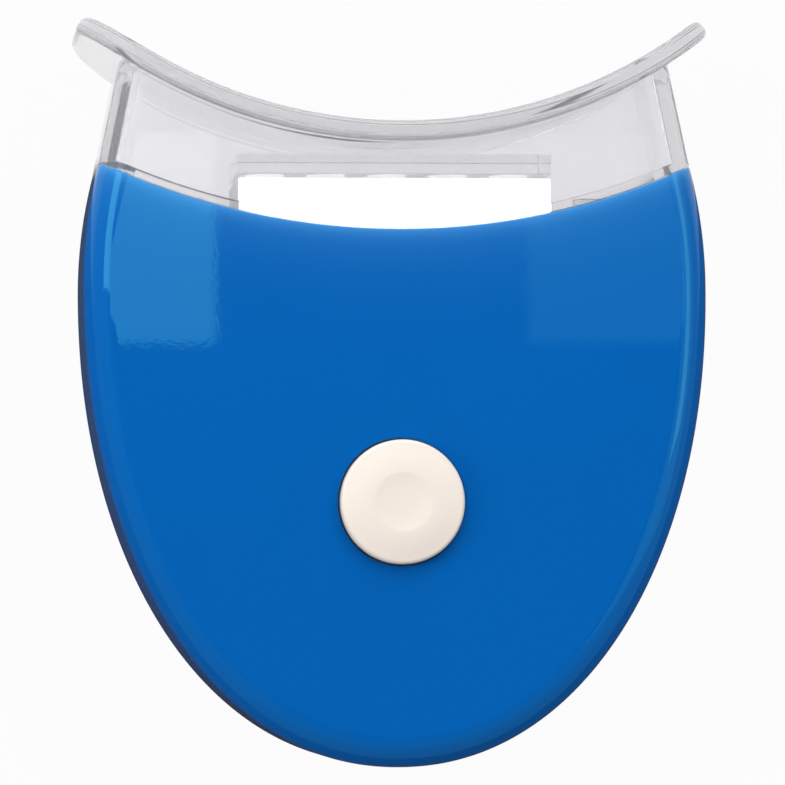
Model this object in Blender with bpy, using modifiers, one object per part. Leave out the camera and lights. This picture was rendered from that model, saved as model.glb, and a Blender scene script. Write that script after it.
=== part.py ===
"""A hand-held teeth whitening lamp, lying on its back.

+Y runs from the rounded tail to the clear mouthpiece, +X to the right and +Z from the flat back to
the push button. The origin is at the middle of the lamp's length and width, on the surface it lies on.
"""

import math

import bmesh
import bpy
from mathutils import Matrix, Vector

MM = 0.001

# Housing outline, seen from the front
BODY_WIDTH = 60.0 * MM
TAIL_LENGTH = 45.9 * MM  # from the widest place down to the tail
TAIL_EXPONENT = 2.1  # 2 is an ellipse, more is fuller
SIDE_RADIUS = 47.0 * MM  # the sides from the widest place to the shoulders
SHOULDER_RISE = 11.6 * MM  # from the widest place up to the shoulders
DUCT_TAPER_DEG = 11.6  # how the clear walls lean in above the shoulders
RIM_RADIUS = 68.0 * MM  # the concave edge where the shells meet the mouthpiece
TAIL_STEPS = 32
SIDE_STEPS = 4

# Housing section
FRONT_DEPTH = 9.4 * MM  # parting plane to the front face
BACK_DEPTH = 9.4 * MM  # parting plane to the back wall beside the raised back
RAISED_BACK = 2.6 * MM  # how far the battery bulge stands behind the back wall
EDGE_RADIUS = 3.0 * MM
WALL = 1.8 * MM
PARTING_GAP = 0.3 * MM
SEAT_GAP = 0.3 * MM  # between pieces that rest on each other
RIM_GAP = 0.3 * MM  # between the shells and the mouthpiece
OVERRUN = 4.0 * MM  # how far cutters run past what they cut
EMBED = 0.5 * MM  # how deep bosses and ribs root in a wall
EDGE_STEPS = 3
OUTLINE_TOP_SPARE = 6.0 * MM  # the outline runs on past the flange and is trimmed there

# Mouthpiece
FLANGE_STAND = 3.9 * MM  # shoulders to the middle of the flange's concave face
FLANGE_RADIUS = 46.5 * MM
FLANGE_THICKNESS = 1.9 * MM
FLANGE_WIDTH = 59.2 * MM  # across the concave face
FLANGE_DEPTH = 23.4 * MM
FLANGE_CORNER_RADIUS = 6.5 * MM
FLANGE_EDGE_ROUND = 0.5 * MM
CLEAR_WALL = 1.8 * MM
TONGUE_WALL = 1.5 * MM
TONGUE_LENGTH = 2.6 * MM
LEDGE_HEIGHT = 1.0 * MM  # the step seen just above the shells' concave edge
EAR_THICKNESS = 1.6 * MM
EAR_WIDTH = 7.6 * MM
EAR_HOLE_RADIUS = 1.3 * MM
EAR_SPARE = 3.6 * MM  # material from the screw hole to the ear's end
FLANGE_FACETS = 80
RIM_FACETS = 112

# Push button
BUTTON_FROM_TAIL = 25.2 * MM
BUTTON_RADIUS = 5.8 * MM
BUTTON_CLEARANCE = 0.3 * MM
BUTTON_STAND = 1.2 * MM  # cap edge above the front face
BUTTON_CROWN = 0.45 * MM
BUTTON_EDGE_ROUND = 0.5 * MM
BUTTON_DIMPLE_RADIUS = 2.9 * MM
BUTTON_DIMPLE_DEPTH = 0.5 * MM
BUTTON_CAP_WALL = 1.5 * MM
BUTTON_SKIRT_WALL = 1.2 * MM
BUTTON_FLANGE_RADIUS = 6.9 * MM
BUTTON_FLANGE_HEIGHT = 1.0 * MM
BUTTON_STOP_GAP = 0.3 * MM
BUTTON_TRAVEL = 1.2 * MM
SOCKET_WALL = 1.0 * MM
SOCKET_CLEARANCE = 0.3 * MM
COLLAR_CLEARANCE = 0.4 * MM
COLLAR_WALL = 1.2 * MM
COLLAR_HEIGHT = 2.6 * MM
BUTTON_FACETS = 28

# Main circuit board, switch and resistor
BOARD_THICKNESS = 1.2 * MM
BOARD_BELOW_PARTING = 0.2 * MM  # the board's upper face under the parting plane
BOARD_POST_CLEARANCE = 0.5 * MM  # between the board's edges and the lower screw posts
BOARD_LENGTH = 31.0 * MM
BOARD_FROM_TAIL = 7.2 * MM
BOARD_CORNER_RADIUS = 2.0 * MM
SWITCH_SIDE = 7.6 * MM
SWITCH_HEIGHT = 4.6 * MM
SWITCH_FLOOR = 0.5 * MM
SWITCH_ROOF = 0.5 * MM
SWITCH_BORE_RADIUS = 2.3 * MM
SWITCH_CORNER = 0.5 * MM
PLUNGER_RADIUS = 1.5 * MM
PLUNGER_COLLAR_RADIUS = 2.1 * MM
PLUNGER_COLLAR_HEIGHT = 0.6 * MM
PLUNGER_CLEARANCE = 0.15 * MM
PLUNGER_SPIGOT_RADIUS = 0.7 * MM
PLUNGER_SPIGOT_LENGTH = 0.9 * MM
SPRING_WIRE = 0.3 * MM
SPRING_RADIUS = 1.35 * MM  # to the middle of the wire
SPRING_TURNS = 2.5
SPRING_POINTS_PER_TURN = 10
RESISTOR_LENGTH = 3.4 * MM
RESISTOR_RADIUS = 0.9 * MM
RESISTOR_WAIST = 0.15 * MM
RESISTOR_LEAD_RADIUS = 0.25 * MM
RESISTOR_LEAD_SPAN = 7.0 * MM
RESISTOR_HEIGHT = 1.4 * MM
RESISTOR_FROM_EDGE = 4.8 * MM  # from the board's left edge
RESISTOR_FROM_BUTTON = 9.0 * MM
PIN_SPARE = 0.6 * MM  # how far soldered leads stand out behind a board
PIN_CLEARANCE = 0.3 * MM

# Coin cells, their well, contacts and door
CELL_FROM_TAIL = 17.0 * MM
CELL_RADIUS = 10.0 * MM
CELL_THICKNESS = 3.2 * MM
CELL_CHAMFER = 0.25 * MM
CELL_CAP_RADIUS = 8.8 * MM
CELL_CAP_STEP = 0.35 * MM
CELL_GAP = 0.3 * MM
CELL_CLEARANCE = 0.4 * MM
WELL_WALL = 1.2 * MM
CELL_FACETS = 32
DOOR_WIDTH = 22.2 * MM
DOOR_THICKNESS = 1.6 * MM
DOOR_INSET = 0.1 * MM  # the door lies this far inside the back face
DOOR_RUNNER = 1.1 * MM  # how far the door's runners reach under the rails
DOOR_RUNNER_THICKNESS = 0.75 * MM
DOOR_ABOVE_CELL = 11.9 * MM  # cell centre to the door's inner end
DOOR_RUNNER_STOP = 4.0 * MM  # the runners end this far above the raised back's tail
DOOR_TAB_WIDTH = 8.0 * MM
DOOR_TAB_LENGTH = 1.2 * MM
DOOR_CLEARANCE = 0.3 * MM
GRIP_COUNT = 4
GRIP_WIDTH = 9.0 * MM
GRIP_GROOVE = 0.7 * MM
GRIP_DEPTH = 0.3 * MM
GRIP_PITCH = 1.6 * MM
GRIP_FROM_TAIL = 6.0 * MM
RAISED_INSET = 3.8 * MM  # the raised back's outline inside the housing's
RAISED_ROUND = 1.2 * MM
RAISED_RIM_DISTANCE = 2.6 * MM  # the raised back's foot from the concave edge
CONTACT_THICKNESS = 0.3 * MM
CONTACT_WIDTH = 4.0 * MM
CONTACT_FOOT = 4.0 * MM
CONTACT_REACH = 5.0 * MM
CONTACT_CURL = 0.7 * MM
BLADE_WIDTH = 3.0 * MM
BLADE_BUMP = 0.45 * MM
BLADE_FOOT = 2.4 * MM
BLADE_SLOT_SPARE = 0.35 * MM
blade_touch_share = 0.5  # how far up the lower cell's side the blade touches

# Light engine
LED_COUNT = 5
LED_END_MARGIN = 3.2 * MM  # from the reflector's end to the first lamp's middle
LED_PITCH = 6.0 * MM
LED_RADIUS = 1.5 * MM
LED_FLANGE_RADIUS = 1.9 * MM
LED_FLANGE_HEIGHT = 1.0 * MM
LED_HEIGHT = 5.3 * MM
LED_LEAD_SIDE = 0.5 * MM
LED_LEAD_PITCH = 2.54 * MM
LED_FACETS = 12
LED_DOME_STEPS = 4
LED_CLEARANCE = 0.3 * MM
REFLECTOR_END_MARGIN = 0.8 * MM  # how far the lamps' board runs past the reflector
REFLECTOR_DEPTH = 11.2 * MM
REFLECTOR_BELOW_FLANGE = 4.9 * MM  # reflector top to the flange's concave face
REFLECTOR_HEIGHT = 7.5 * MM
REFLECTOR_CORNER = 0.6 * MM
CUP_MOUTH_RADIUS = 2.7 * MM
CUP_FACETS = 16
LENS_THICKNESS = 2.0 * MM
LENS_CORNER = 0.8 * MM
LED_BOARD_DEPTH = 11.2 * MM
RIB_WIDTH = 2.4 * MM
RIB_THICKNESS = 1.8 * MM
RIB_FROM_END = 5.5 * MM  # from the lamps' board's end to the middle of a rib
RIB_REACH = 5.0 * MM

# Leads between the boards
LEAD_DIAMETER = 1.0 * MM
LEAD_BOARD_INSET = 2.2 * MM  # the leads leave the main board this far from its upper edge
LEAD_STEPS = 14
LEAD_STANDOFF = 0.3 * MM
LEAD_FROM_SCREW = 4.6 * MM  # the leads leave the board this far inside its screws
LEAD_FROM_RIB = 1.3 * MM  # and end this far inside the ribs
LEAD_HUMP = 3.4 * MM

# Screws and their posts
CASE_SCREW_UPPER_EAR_GAP = 0.2 * MM  # least gap between the lamps' board and the screw's ear
case_screw_upper_share = 0.238  # from there out to the casing's inside
CASE_SCREW_UPPER_BELOW_SHOULDER = 12.8 * MM
case_screw_lower_share = 0.566  # from the battery well's side out to the casing's inside
CASE_SCREW_LOWER_FROM_TAIL = 14.2 * MM
POST_RADIUS = 2.7 * MM
SCREW_RADIUS = 1.0 * MM
SCREW_CLEARANCE = 0.3 * MM
PILOT_CLEARANCE = 0.12 * MM
HEAD_RADIUS = 1.8 * MM
HEAD_HEIGHT = 1.3 * MM
HEAD_ROUND = 0.5 * MM
HEAD_CLEARANCE = 0.3 * MM
HEAD_SEAT_HEIGHT = 5.0 * MM  # the seat of a case screw's head above the back
CASE_SCREW_LENGTH = 12.4 * MM
BOARD_SCREW_LENGTH = 5.2 * MM
BOARD_SCREW_RADIUS = 0.8 * MM
BOARD_SCREW_HEAD_RADIUS = 1.5 * MM
BOARD_SCREW_HEAD_HEIGHT = 1.0 * MM
BOARD_SCREW_FROM_EDGE = 2.8 * MM
BOARD_SCREW_INSET = 2.8 * MM  # from the board's upper edge
BOARD_POST_RADIUS = 2.1 * MM
PEG_RADIUS = 1.4 * MM
PEG_FROM_EDGE = 4.4 * MM
PEG_INSET = 2.4 * MM  # from the board's lower edge
SCREW_SLOT_WIDTH = 0.5 * MM
SCREW_SLOT_DEPTH = 0.6 * MM
SCREW_POINT = 1.2 * MM
SCREW_FACETS = 12
POST_FACETS = 16
PILOT_SPARE = 1.0 * MM

SHARP_DEG = 40.0
FLAT_DEG = 0.1
WELD_DISTANCE = 0.002 * MM
SCREW_MERGE = 0.01 * MM

# Places worked out from the sizes above
half_width = BODY_WIDTH / 2
flange_half = FLANGE_WIDTH / 2
tip_rise = FLANGE_RADIUS - math.sqrt(FLANGE_RADIUS**2 - flange_half**2)
lamp_length = TAIL_LENGTH + SHOULDER_RISE + FLANGE_STAND + tip_rise
tail_y = -lamp_length / 2
widest_y = tail_y + TAIL_LENGTH
shoulder_y = widest_y + SHOULDER_RISE
flange_floor_y = shoulder_y + FLANGE_STAND
flange_axis_y = flange_floor_y + FLANGE_RADIUS
tip_y = flange_floor_y + tip_rise
shoulder_half = half_width - SIDE_RADIUS + math.sqrt(SIDE_RADIUS**2 - SHOULDER_RISE**2)
rim_axis_y = shoulder_y + math.sqrt(RIM_RADIUS**2 - shoulder_half**2)

parting_z = BACK_DEPTH + RAISED_BACK
front_z = parting_z + FRONT_DEPTH
back_z = RAISED_BACK
front_inner_z = front_z - WALL
back_inner_z = back_z + WALL

button_y = tail_y + BUTTON_FROM_TAIL
cell_y = tail_y + CELL_FROM_TAIL
lower_screw_y = tail_y + CASE_SCREW_LOWER_FROM_TAIL
tail_rise_share = (widest_y - lower_screw_y) / TAIL_LENGTH
casing_side_x = half_width * (1 - tail_rise_share**TAIL_EXPONENT) ** (1 / TAIL_EXPONENT) - WALL
well_side_x = math.sqrt((CELL_RADIUS + CELL_CLEARANCE + WELL_WALL) ** 2 - (lower_screw_y - cell_y) ** 2)
lower_screw_x = well_side_x + (casing_side_x - well_side_x) * case_screw_lower_share
board_width = 2 * (lower_screw_x - POST_RADIUS - BOARD_POST_CLEARANCE)
board_screw_x = board_width / 2 - BOARD_SCREW_FROM_EDGE
peg_x = board_width / 2 - PEG_FROM_EDGE
resistor_x = RESISTOR_FROM_EDGE - board_width / 2
board_low_y = tail_y + BOARD_FROM_TAIL
board_high_y = board_low_y + BOARD_LENGTH
board_top_z = parting_z - BOARD_BELOW_PARTING
board_bottom_z = board_top_z - BOARD_THICKNESS
reflector_width = (LED_COUNT - 1) * LED_PITCH + 2 * LED_END_MARGIN
led_board_width = reflector_width + 2 * REFLECTOR_END_MARGIN
rib_x = led_board_width / 2 - RIB_FROM_END
lead_near_x = board_screw_x - LEAD_FROM_SCREW
lead_far_x = rib_x - LEAD_FROM_RIB
reflector_top_y = flange_floor_y - REFLECTOR_BELOW_FLANGE
reflector_low_y = reflector_top_y - REFLECTOR_HEIGHT
led_board_top_y = reflector_low_y - SEAT_GAP
led_board_low_y = led_board_top_y - BOARD_THICKNESS
ear_side_x = led_board_width / 2 + CASE_SCREW_UPPER_EAR_GAP + EAR_WIDTH / 2
upper_screw_x = ear_side_x + (half_width - WALL - ear_side_x) * case_screw_upper_share
case_screw_places = [
    (side * upper_screw_x, shoulder_y - CASE_SCREW_UPPER_BELOW_SHOULDER) for side in (-1, 1)
] + [(side * lower_screw_x, lower_screw_y) for side in (-1, 1)]
board_screw_places = [(side * board_screw_x, board_high_y - BOARD_SCREW_INSET) for side in (-1, 1)]
peg_places = [(side * peg_x, board_low_y + PEG_INSET) for side in (-1, 1)]
door_top_y = cell_y + DOOR_ABOVE_CELL
door_low_z = DOOR_INSET
door_high_z = door_low_z + DOOR_THICKNESS
lower_cell_z = door_high_z + CELL_GAP
upper_cell_z = lower_cell_z + CELL_THICKNESS + CELL_GAP
cell_stack_top_z = upper_cell_z + CELL_THICKNESS
blade_touch_z = lower_cell_z + CELL_THICKNESS * blade_touch_share


def clear_scene():
    for old in list(bpy.data.objects):
        bpy.data.objects.remove(old, do_unlink=True)


def new_collection(name):
    collection = bpy.data.collections.new(name)
    bpy.context.scene.collection.children.link(collection)
    return collection


def make_material(name, colour, roughness, metallic=0.0, alpha=1.0):
    material = bpy.data.materials.new(name)
    material.use_nodes = True
    shader = material.node_tree.nodes["Principled BSDF"]
    shader.inputs["Base Color"].default_value = (*colour, 1.0)
    shader.inputs["Roughness"].default_value = roughness
    shader.inputs["Metallic"].default_value = metallic
    shader.inputs["Alpha"].default_value = alpha
    material.diffuse_color = (*colour, alpha)
    return material


def place(obj, collection, material=None):
    """Puts an object in its collection, as a part with a material or as a helper without one."""
    collection.objects.link(obj)
    if material is None:
        obj.hide_render = True
        obj.display_type = "WIRE"
    else:
        obj.data.materials.append(material)
    return obj


def object_from_bmesh(name, bm):
    mesh = bpy.data.meshes.new(name)
    bmesh.ops.recalc_face_normals(bm, faces=bm.faces)
    bm.to_mesh(mesh)
    bm.free()
    return bpy.data.objects.new(name, mesh)


def box(name, low, high):
    """A box between two corners."""
    low, high = Vector(low), Vector(high)
    bm = bmesh.new()
    bmesh.ops.create_cube(bm, size=1.0)
    bmesh.ops.scale(bm, vec=high - low, verts=bm.verts)
    bmesh.ops.translate(bm, vec=(low + high) / 2, verts=bm.verts)
    return object_from_bmesh(name, bm)


def round_bar(name, centre, radius, z_low, z_high, facets, top_radius=None):
    """An upright cylinder, or a cone where top_radius differs."""
    bm = bmesh.new()
    bmesh.ops.create_cone(
        bm,
        cap_ends=True,
        segments=facets,
        radius1=radius,
        radius2=radius if top_radius is None else top_radius,
        depth=z_high - z_low,
    )
    bmesh.ops.translate(bm, vec=(centre[0], centre[1], (z_low + z_high) / 2), verts=bm.verts)
    return object_from_bmesh(name, bm)


def slab(name, outline, z_low, z_high, edge_round=0.0, edge_steps=EDGE_STEPS):
    """A flat outline filled and extruded between two levels, its two long edges rounded."""
    curve = bpy.data.curves.new(name, "CURVE")
    curve.dimensions = "2D"
    curve.fill_mode = "BOTH"
    curve.extrude = (z_high - z_low) / 2
    spline = curve.splines.new("POLY")
    spline.points.add(len(outline) - 1)
    for point, (x, y) in zip(spline.points, outline):
        point.co = (x, y, 0.0, 1.0)
    spline.use_cyclic_u = True
    guide = bpy.data.objects.new(name + "_curve", curve)
    bpy.context.scene.collection.objects.link(guide)
    obj = mesh_from_curve(name, guide)
    obj.data.transform(Matrix.Translation((0.0, 0.0, (z_low + z_high) / 2)))
    if edge_round:
        bevel = obj.modifiers.new("edge_round", "BEVEL")
        bevel.width = edge_round
        bevel.segments = edge_steps
        bevel.limit_method = "ANGLE"
        bevel.angle_limit = math.radians(SHARP_DEG)
        bevel.use_clamp_overlap = False
    return obj


def mesh_from_curve(name, guide):
    """The evaluated curve as a closed mesh object in the same place; the curve is removed."""
    bpy.context.view_layer.update()
    graph = bpy.context.evaluated_depsgraph_get()
    mesh = bpy.data.meshes.new_from_object(guide.evaluated_get(graph))
    mesh.name = name
    bm = bmesh.new()
    bm.from_mesh(mesh)
    bmesh.ops.remove_doubles(bm, verts=bm.verts, dist=WELD_DISTANCE)
    bmesh.ops.dissolve_limit(
        bm, angle_limit=math.radians(FLAT_DEG), verts=bm.verts, edges=bm.edges, delimit={"NORMAL"}
    )
    bmesh.ops.recalc_face_normals(bm, faces=bm.faces)
    bm.to_mesh(mesh)
    bm.free()
    obj = bpy.data.objects.new(name, mesh)
    obj.matrix_world = guide.matrix_world.copy()
    bpy.data.objects.remove(guide, do_unlink=True)
    return obj


def turned(name, profile, facets, centre=(0.0, 0.0)):
    """A solid of revolution about Z. The profile holds (radius, height) points, from the axis at the top,
    down the outside, to the axis at the bottom."""
    mesh = bpy.data.meshes.new(name)
    points = [(radius, 0.0, height) for radius, height in profile]
    mesh.from_pydata(points, [(i, i + 1) for i in range(len(points) - 1)], [])
    obj = bpy.data.objects.new(name, mesh)
    obj.location = (centre[0], centre[1], 0.0)
    screw = obj.modifiers.new("turn", "SCREW")
    screw.axis = "Z"
    screw.steps = facets
    screw.render_steps = facets
    screw.use_merge_vertices = True
    screw.merge_threshold = SCREW_MERGE
    screw.use_smooth_shade = True
    return obj


def boolean(obj, other, operation):
    modifier = obj.modifiers.new(operation.lower() + "_" + other.name, "BOOLEAN")
    modifier.operation = operation
    modifier.object = other
    modifier.solver = "EXACT"
    return obj


def inset_outline(outline, distance):
    """The outline moved inwards by a distance, each corner along its mitre."""
    moved = []
    count = len(outline)
    for i, point in enumerate(outline):
        before = Vector(outline[i - 1])
        here = Vector(point)
        after = Vector(outline[(i + 1) % count])
        first = (here - before).normalized()
        second = (after - here).normalized()
        inward_first = Vector((-first.y, first.x))
        inward_second = Vector((-second.y, second.x))
        mitre = (inward_first + inward_second).normalized()
        moved.append(here + mitre * distance / mitre.dot(inward_first))
    return [(p.x, p.y) for p in moved]


def housing_outline(inset=0.0):
    """The outline of shells and mouthpiece together, counter-clockwise from the right shoulder's top."""
    top_y = tip_y + OUTLINE_TOP_SPARE
    top_half = shoulder_half - (top_y - shoulder_y) * math.tan(math.radians(DUCT_TAPER_DEG))
    left = [(-top_half, top_y)]
    for step in range(SIDE_STEPS):
        rise = SHOULDER_RISE * (SIDE_STEPS - step) / SIDE_STEPS
        left.append((-(half_width - SIDE_RADIUS + math.sqrt(SIDE_RADIUS**2 - rise**2)), widest_y + rise))
    tail = []
    for step in range(TAIL_STEPS + 1):
        angle = math.pi + math.pi * step / TAIL_STEPS
        power = 2 / TAIL_EXPONENT
        x = math.copysign(abs(math.cos(angle)) ** power, math.cos(angle)) * half_width
        y = widest_y - abs(math.sin(angle)) ** power * TAIL_LENGTH
        tail.append((x, y))
    right = [(-x, y) for x, y in reversed(left)]
    return inset_outline(left + tail + right, inset)


def rounded_rectangle(width, height, radius, steps=EDGE_STEPS):
    points = []
    for quarter in range(4):
        angle = math.pi / 2 * quarter
        corner_x = (width / 2 - radius) * (1 if quarter in (0, 3) else -1)
        corner_y = (height / 2 - radius) * (1 if quarter in (0, 1) else -1)
        for step in range(steps + 1):
            turn = angle + math.pi / 2 * step / steps
            points.append((corner_x + radius * math.cos(turn), corner_y + radius * math.sin(turn)))
    return points


def strip_outline(path, thickness):
    """The closed outline of a bent strip of even thickness along a path."""
    sides = ([], [])
    for i, point in enumerate(path):
        here = Vector(point)
        before = Vector(path[max(i - 1, 0)])
        after = Vector(path[min(i + 1, len(path) - 1)])
        first = (here - before) if i else (after - here)
        second = (after - here) if i < len(path) - 1 else (here - before)
        normal_first = Vector((-first.y, first.x)).normalized()
        normal_second = Vector((-second.y, second.x)).normalized()
        mitre = (normal_first + normal_second).normalized()
        offset = mitre * thickness / 2 / mitre.dot(normal_first)
        sides[0].append(here + offset)
        sides[1].append(here - offset)
    return [(p.x, p.y) for p in sides[1] + sides[0][::-1]]


def tube(name, points, radius, resolution=2):
    """A closed round tube through the points."""
    curve = bpy.data.curves.new(name, "CURVE")
    curve.dimensions = "3D"
    curve.bevel_depth = radius
    curve.bevel_resolution = resolution
    curve.use_fill_caps = True
    spline = curve.splines.new("POLY")
    spline.points.add(len(points) - 1)
    for point, co in zip(spline.points, points):
        point.co = (*co, 1.0)
    return bpy.data.objects.new(name, curve)


def smooth_route(points, steps):
    """Points read along a Catmull-Rom curve through the route's own points."""
    padded = [points[0], *points, points[-1]]
    route = []
    for i in range(1, len(padded) - 2):
        a, b, c, d = (Vector(p) for p in padded[i - 1 : i + 3])
        for step in range(steps):
            t = step / steps
            route.append(
                0.5
                * (2 * b + (c - a) * t + (2 * a - 5 * b + 4 * c - d) * t**2 + (3 * b - a - 3 * c + d) * t**3)
            )
    route.append(Vector(points[-1]))
    return route


class Lamp:
    """Collects the parts and the helpers that cut or complete them."""

    def __init__(self):
        self.parts = new_collection("teeth_whitening_lamp")
        self.helpers = new_collection("cutters")
        self.materials = {
            "blue_shell": make_material("blue_shell", (0.006, 0.115, 0.43), 0.22),
            "white_button": make_material("white_button", (0.86, 0.82, 0.75), 0.38),
            "clear_plastic": make_material("clear_plastic", (0.93, 0.94, 0.95), 0.05, alpha=0.35),
            "white_reflector": make_material("white_reflector", (0.9, 0.9, 0.9), 0.35),
            "led_epoxy": make_material("led_epoxy", (0.85, 0.9, 0.95), 0.08, alpha=0.6),
            "circuit_board": make_material("circuit_board", (0.02, 0.18, 0.07), 0.45),
            "switch_plastic": make_material("switch_plastic", (0.03, 0.03, 0.035), 0.5),
            "steel": make_material("steel", (0.62, 0.62, 0.6), 0.3, metallic=1.0),
            "cell_steel": make_material("cell_steel", (0.7, 0.7, 0.68), 0.25, metallic=1.0),
            "brass": make_material("brass", (0.75, 0.58, 0.25), 0.3, metallic=1.0),
            "resistor_body": make_material("resistor_body", (0.65, 0.5, 0.3), 0.5),
            "red_insulation": make_material("red_insulation", (0.55, 0.02, 0.02), 0.45),
            "black_insulation": make_material("black_insulation", (0.02, 0.02, 0.02), 0.45),
        }

    def part(self, obj, material):
        return place(obj, self.parts, self.materials[material])

    def helper(self, obj):
        return place(obj, self.helpers)

    def cut(self, obj, other):
        return boolean(obj, self.helper(other), "DIFFERENCE")

    def add(self, obj, other):
        return boolean(obj, self.helper(other), "UNION")

    def keep(self, obj, other):
        return boolean(obj, self.helper(other), "INTERSECT")


def rim_cylinder(name, radius, top_radius=None, z_low=None, z_high=None):
    """A cylinder about the axis of the shells' concave edge."""
    z_low = -OVERRUN if z_low is None else z_low
    z_high = front_z + FLANGE_DEPTH if z_high is None else z_high
    return round_bar(name, (0.0, rim_axis_y), radius, z_low, z_high, RIM_FACETS, top_radius)


def flange_cylinder(name, radius):
    z_high = front_z + FLANGE_DEPTH
    return round_bar(name, (0.0, flange_axis_y), radius, -FLANGE_DEPTH, z_high, FLANGE_FACETS)


def front_shell(lamp):
    """The front half of the casing, with its bosses, button collar and board pegs."""
    low_z = parting_z + PARTING_GAP / 2
    shell = lamp.part(
        slab("front_shell", housing_outline(), low_z - EDGE_RADIUS - OVERRUN, front_z, EDGE_RADIUS),
        "blue_shell",
    )
    reach = half_width + OVERRUN
    lamp.cut(shell, box("front_trim", (-reach, tail_y - OVERRUN, -2 * OVERRUN), (reach, tip_y * 2, low_z)))
    lamp.cut(shell, rim_cylinder("front_rim_cut", RIM_RADIUS))
    cavity = slab(
        "front_cavity",
        housing_outline(WALL),
        low_z - EDGE_RADIUS - 2 * OVERRUN,
        front_inner_z,
        EDGE_RADIUS - WALL,
    )
    lamp.cut(shell, cavity)
    ear_top_z = parting_z + EAR_THICKNESS / 2 + SEAT_GAP
    root_z = front_inner_z + EMBED
    for i, (x, y) in enumerate(case_screw_places):
        foot_z = ear_top_z if y > widest_y - TAIL_LENGTH / 2 else low_z
        lamp.add(shell, round_bar(f"front_post_{i}", (x, y), POST_RADIUS, foot_z, root_z, POST_FACETS))
    for i, (x, y) in enumerate(board_screw_places):
        lamp.add(
            shell,
            round_bar(
                f"board_post_{i}", (x, y), BOARD_POST_RADIUS, board_top_z + SEAT_GAP, root_z, POST_FACETS
            ),
        )
    for i, (x, y) in enumerate(peg_places):
        lamp.add(
            shell, round_bar(f"peg_{i}", (x, y), PEG_RADIUS, board_top_z + SEAT_GAP, root_z, POST_FACETS)
        )
    collar_inner = BUTTON_FLANGE_RADIUS + COLLAR_CLEARANCE
    lamp.add(
        shell,
        round_bar(
            "collar",
            (0.0, button_y),
            collar_inner + COLLAR_WALL,
            front_inner_z - COLLAR_HEIGHT,
            root_z,
            BUTTON_FACETS,
        ),
    )
    for side in (-1, 1):
        lamp.add(shell, led_board_rib(f"front_rib_{side + 1}", side, front_inner_z - RIB_REACH, root_z))
    lamp.cut(
        shell,
        round_bar(
            "collar_bore",
            (0.0, button_y),
            collar_inner,
            front_inner_z - COLLAR_HEIGHT - OVERRUN,
            front_inner_z,
            BUTTON_FACETS,
        ),
    )
    lamp.cut(
        shell,
        round_bar(
            "button_hole",
            (0.0, button_y),
            BUTTON_RADIUS + BUTTON_CLEARANCE,
            front_inner_z - OVERRUN,
            front_z + OVERRUN,
            BUTTON_FACETS,
        ),
    )
    pilot_top = HEAD_SEAT_HEIGHT - SEAT_GAP + CASE_SCREW_LENGTH + PILOT_SPARE
    for i, (x, y) in enumerate(case_screw_places):
        lamp.cut(
            shell,
            round_bar(
                f"pilot_{i}", (x, y), SCREW_RADIUS + PILOT_CLEARANCE, low_z - OVERRUN, pilot_top, SCREW_FACETS
            ),
        )
    board_pilot_top = board_bottom_z - SEAT_GAP + BOARD_SCREW_LENGTH + PILOT_SPARE
    for i, (x, y) in enumerate(board_screw_places):
        lamp.cut(
            shell,
            round_bar(
                f"board_pilot_{i}",
                (x, y),
                BOARD_SCREW_RADIUS + PILOT_CLEARANCE,
                low_z - OVERRUN,
                board_pilot_top,
                SCREW_FACETS,
            ),
        )
    return shell


def led_board_rib(name, side, z_low, z_high):
    """A rib that carries the lamp board from below."""
    y_high = led_board_low_y - SEAT_GAP
    x = side * rib_x
    return box(
        name,
        (x - RIB_WIDTH / 2, y_high - RIB_THICKNESS, z_low),
        (x + RIB_WIDTH / 2, y_high, z_high),
    )


def raised_back(name, round_inset=0.0):
    """The battery bulge's outer form, down to the surface that the lamp lies on."""
    return slab(
        name,
        housing_outline(RAISED_INSET + round_inset),
        round_inset,
        back_inner_z - EMBED + RAISED_ROUND,
        RAISED_ROUND,
    )


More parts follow.
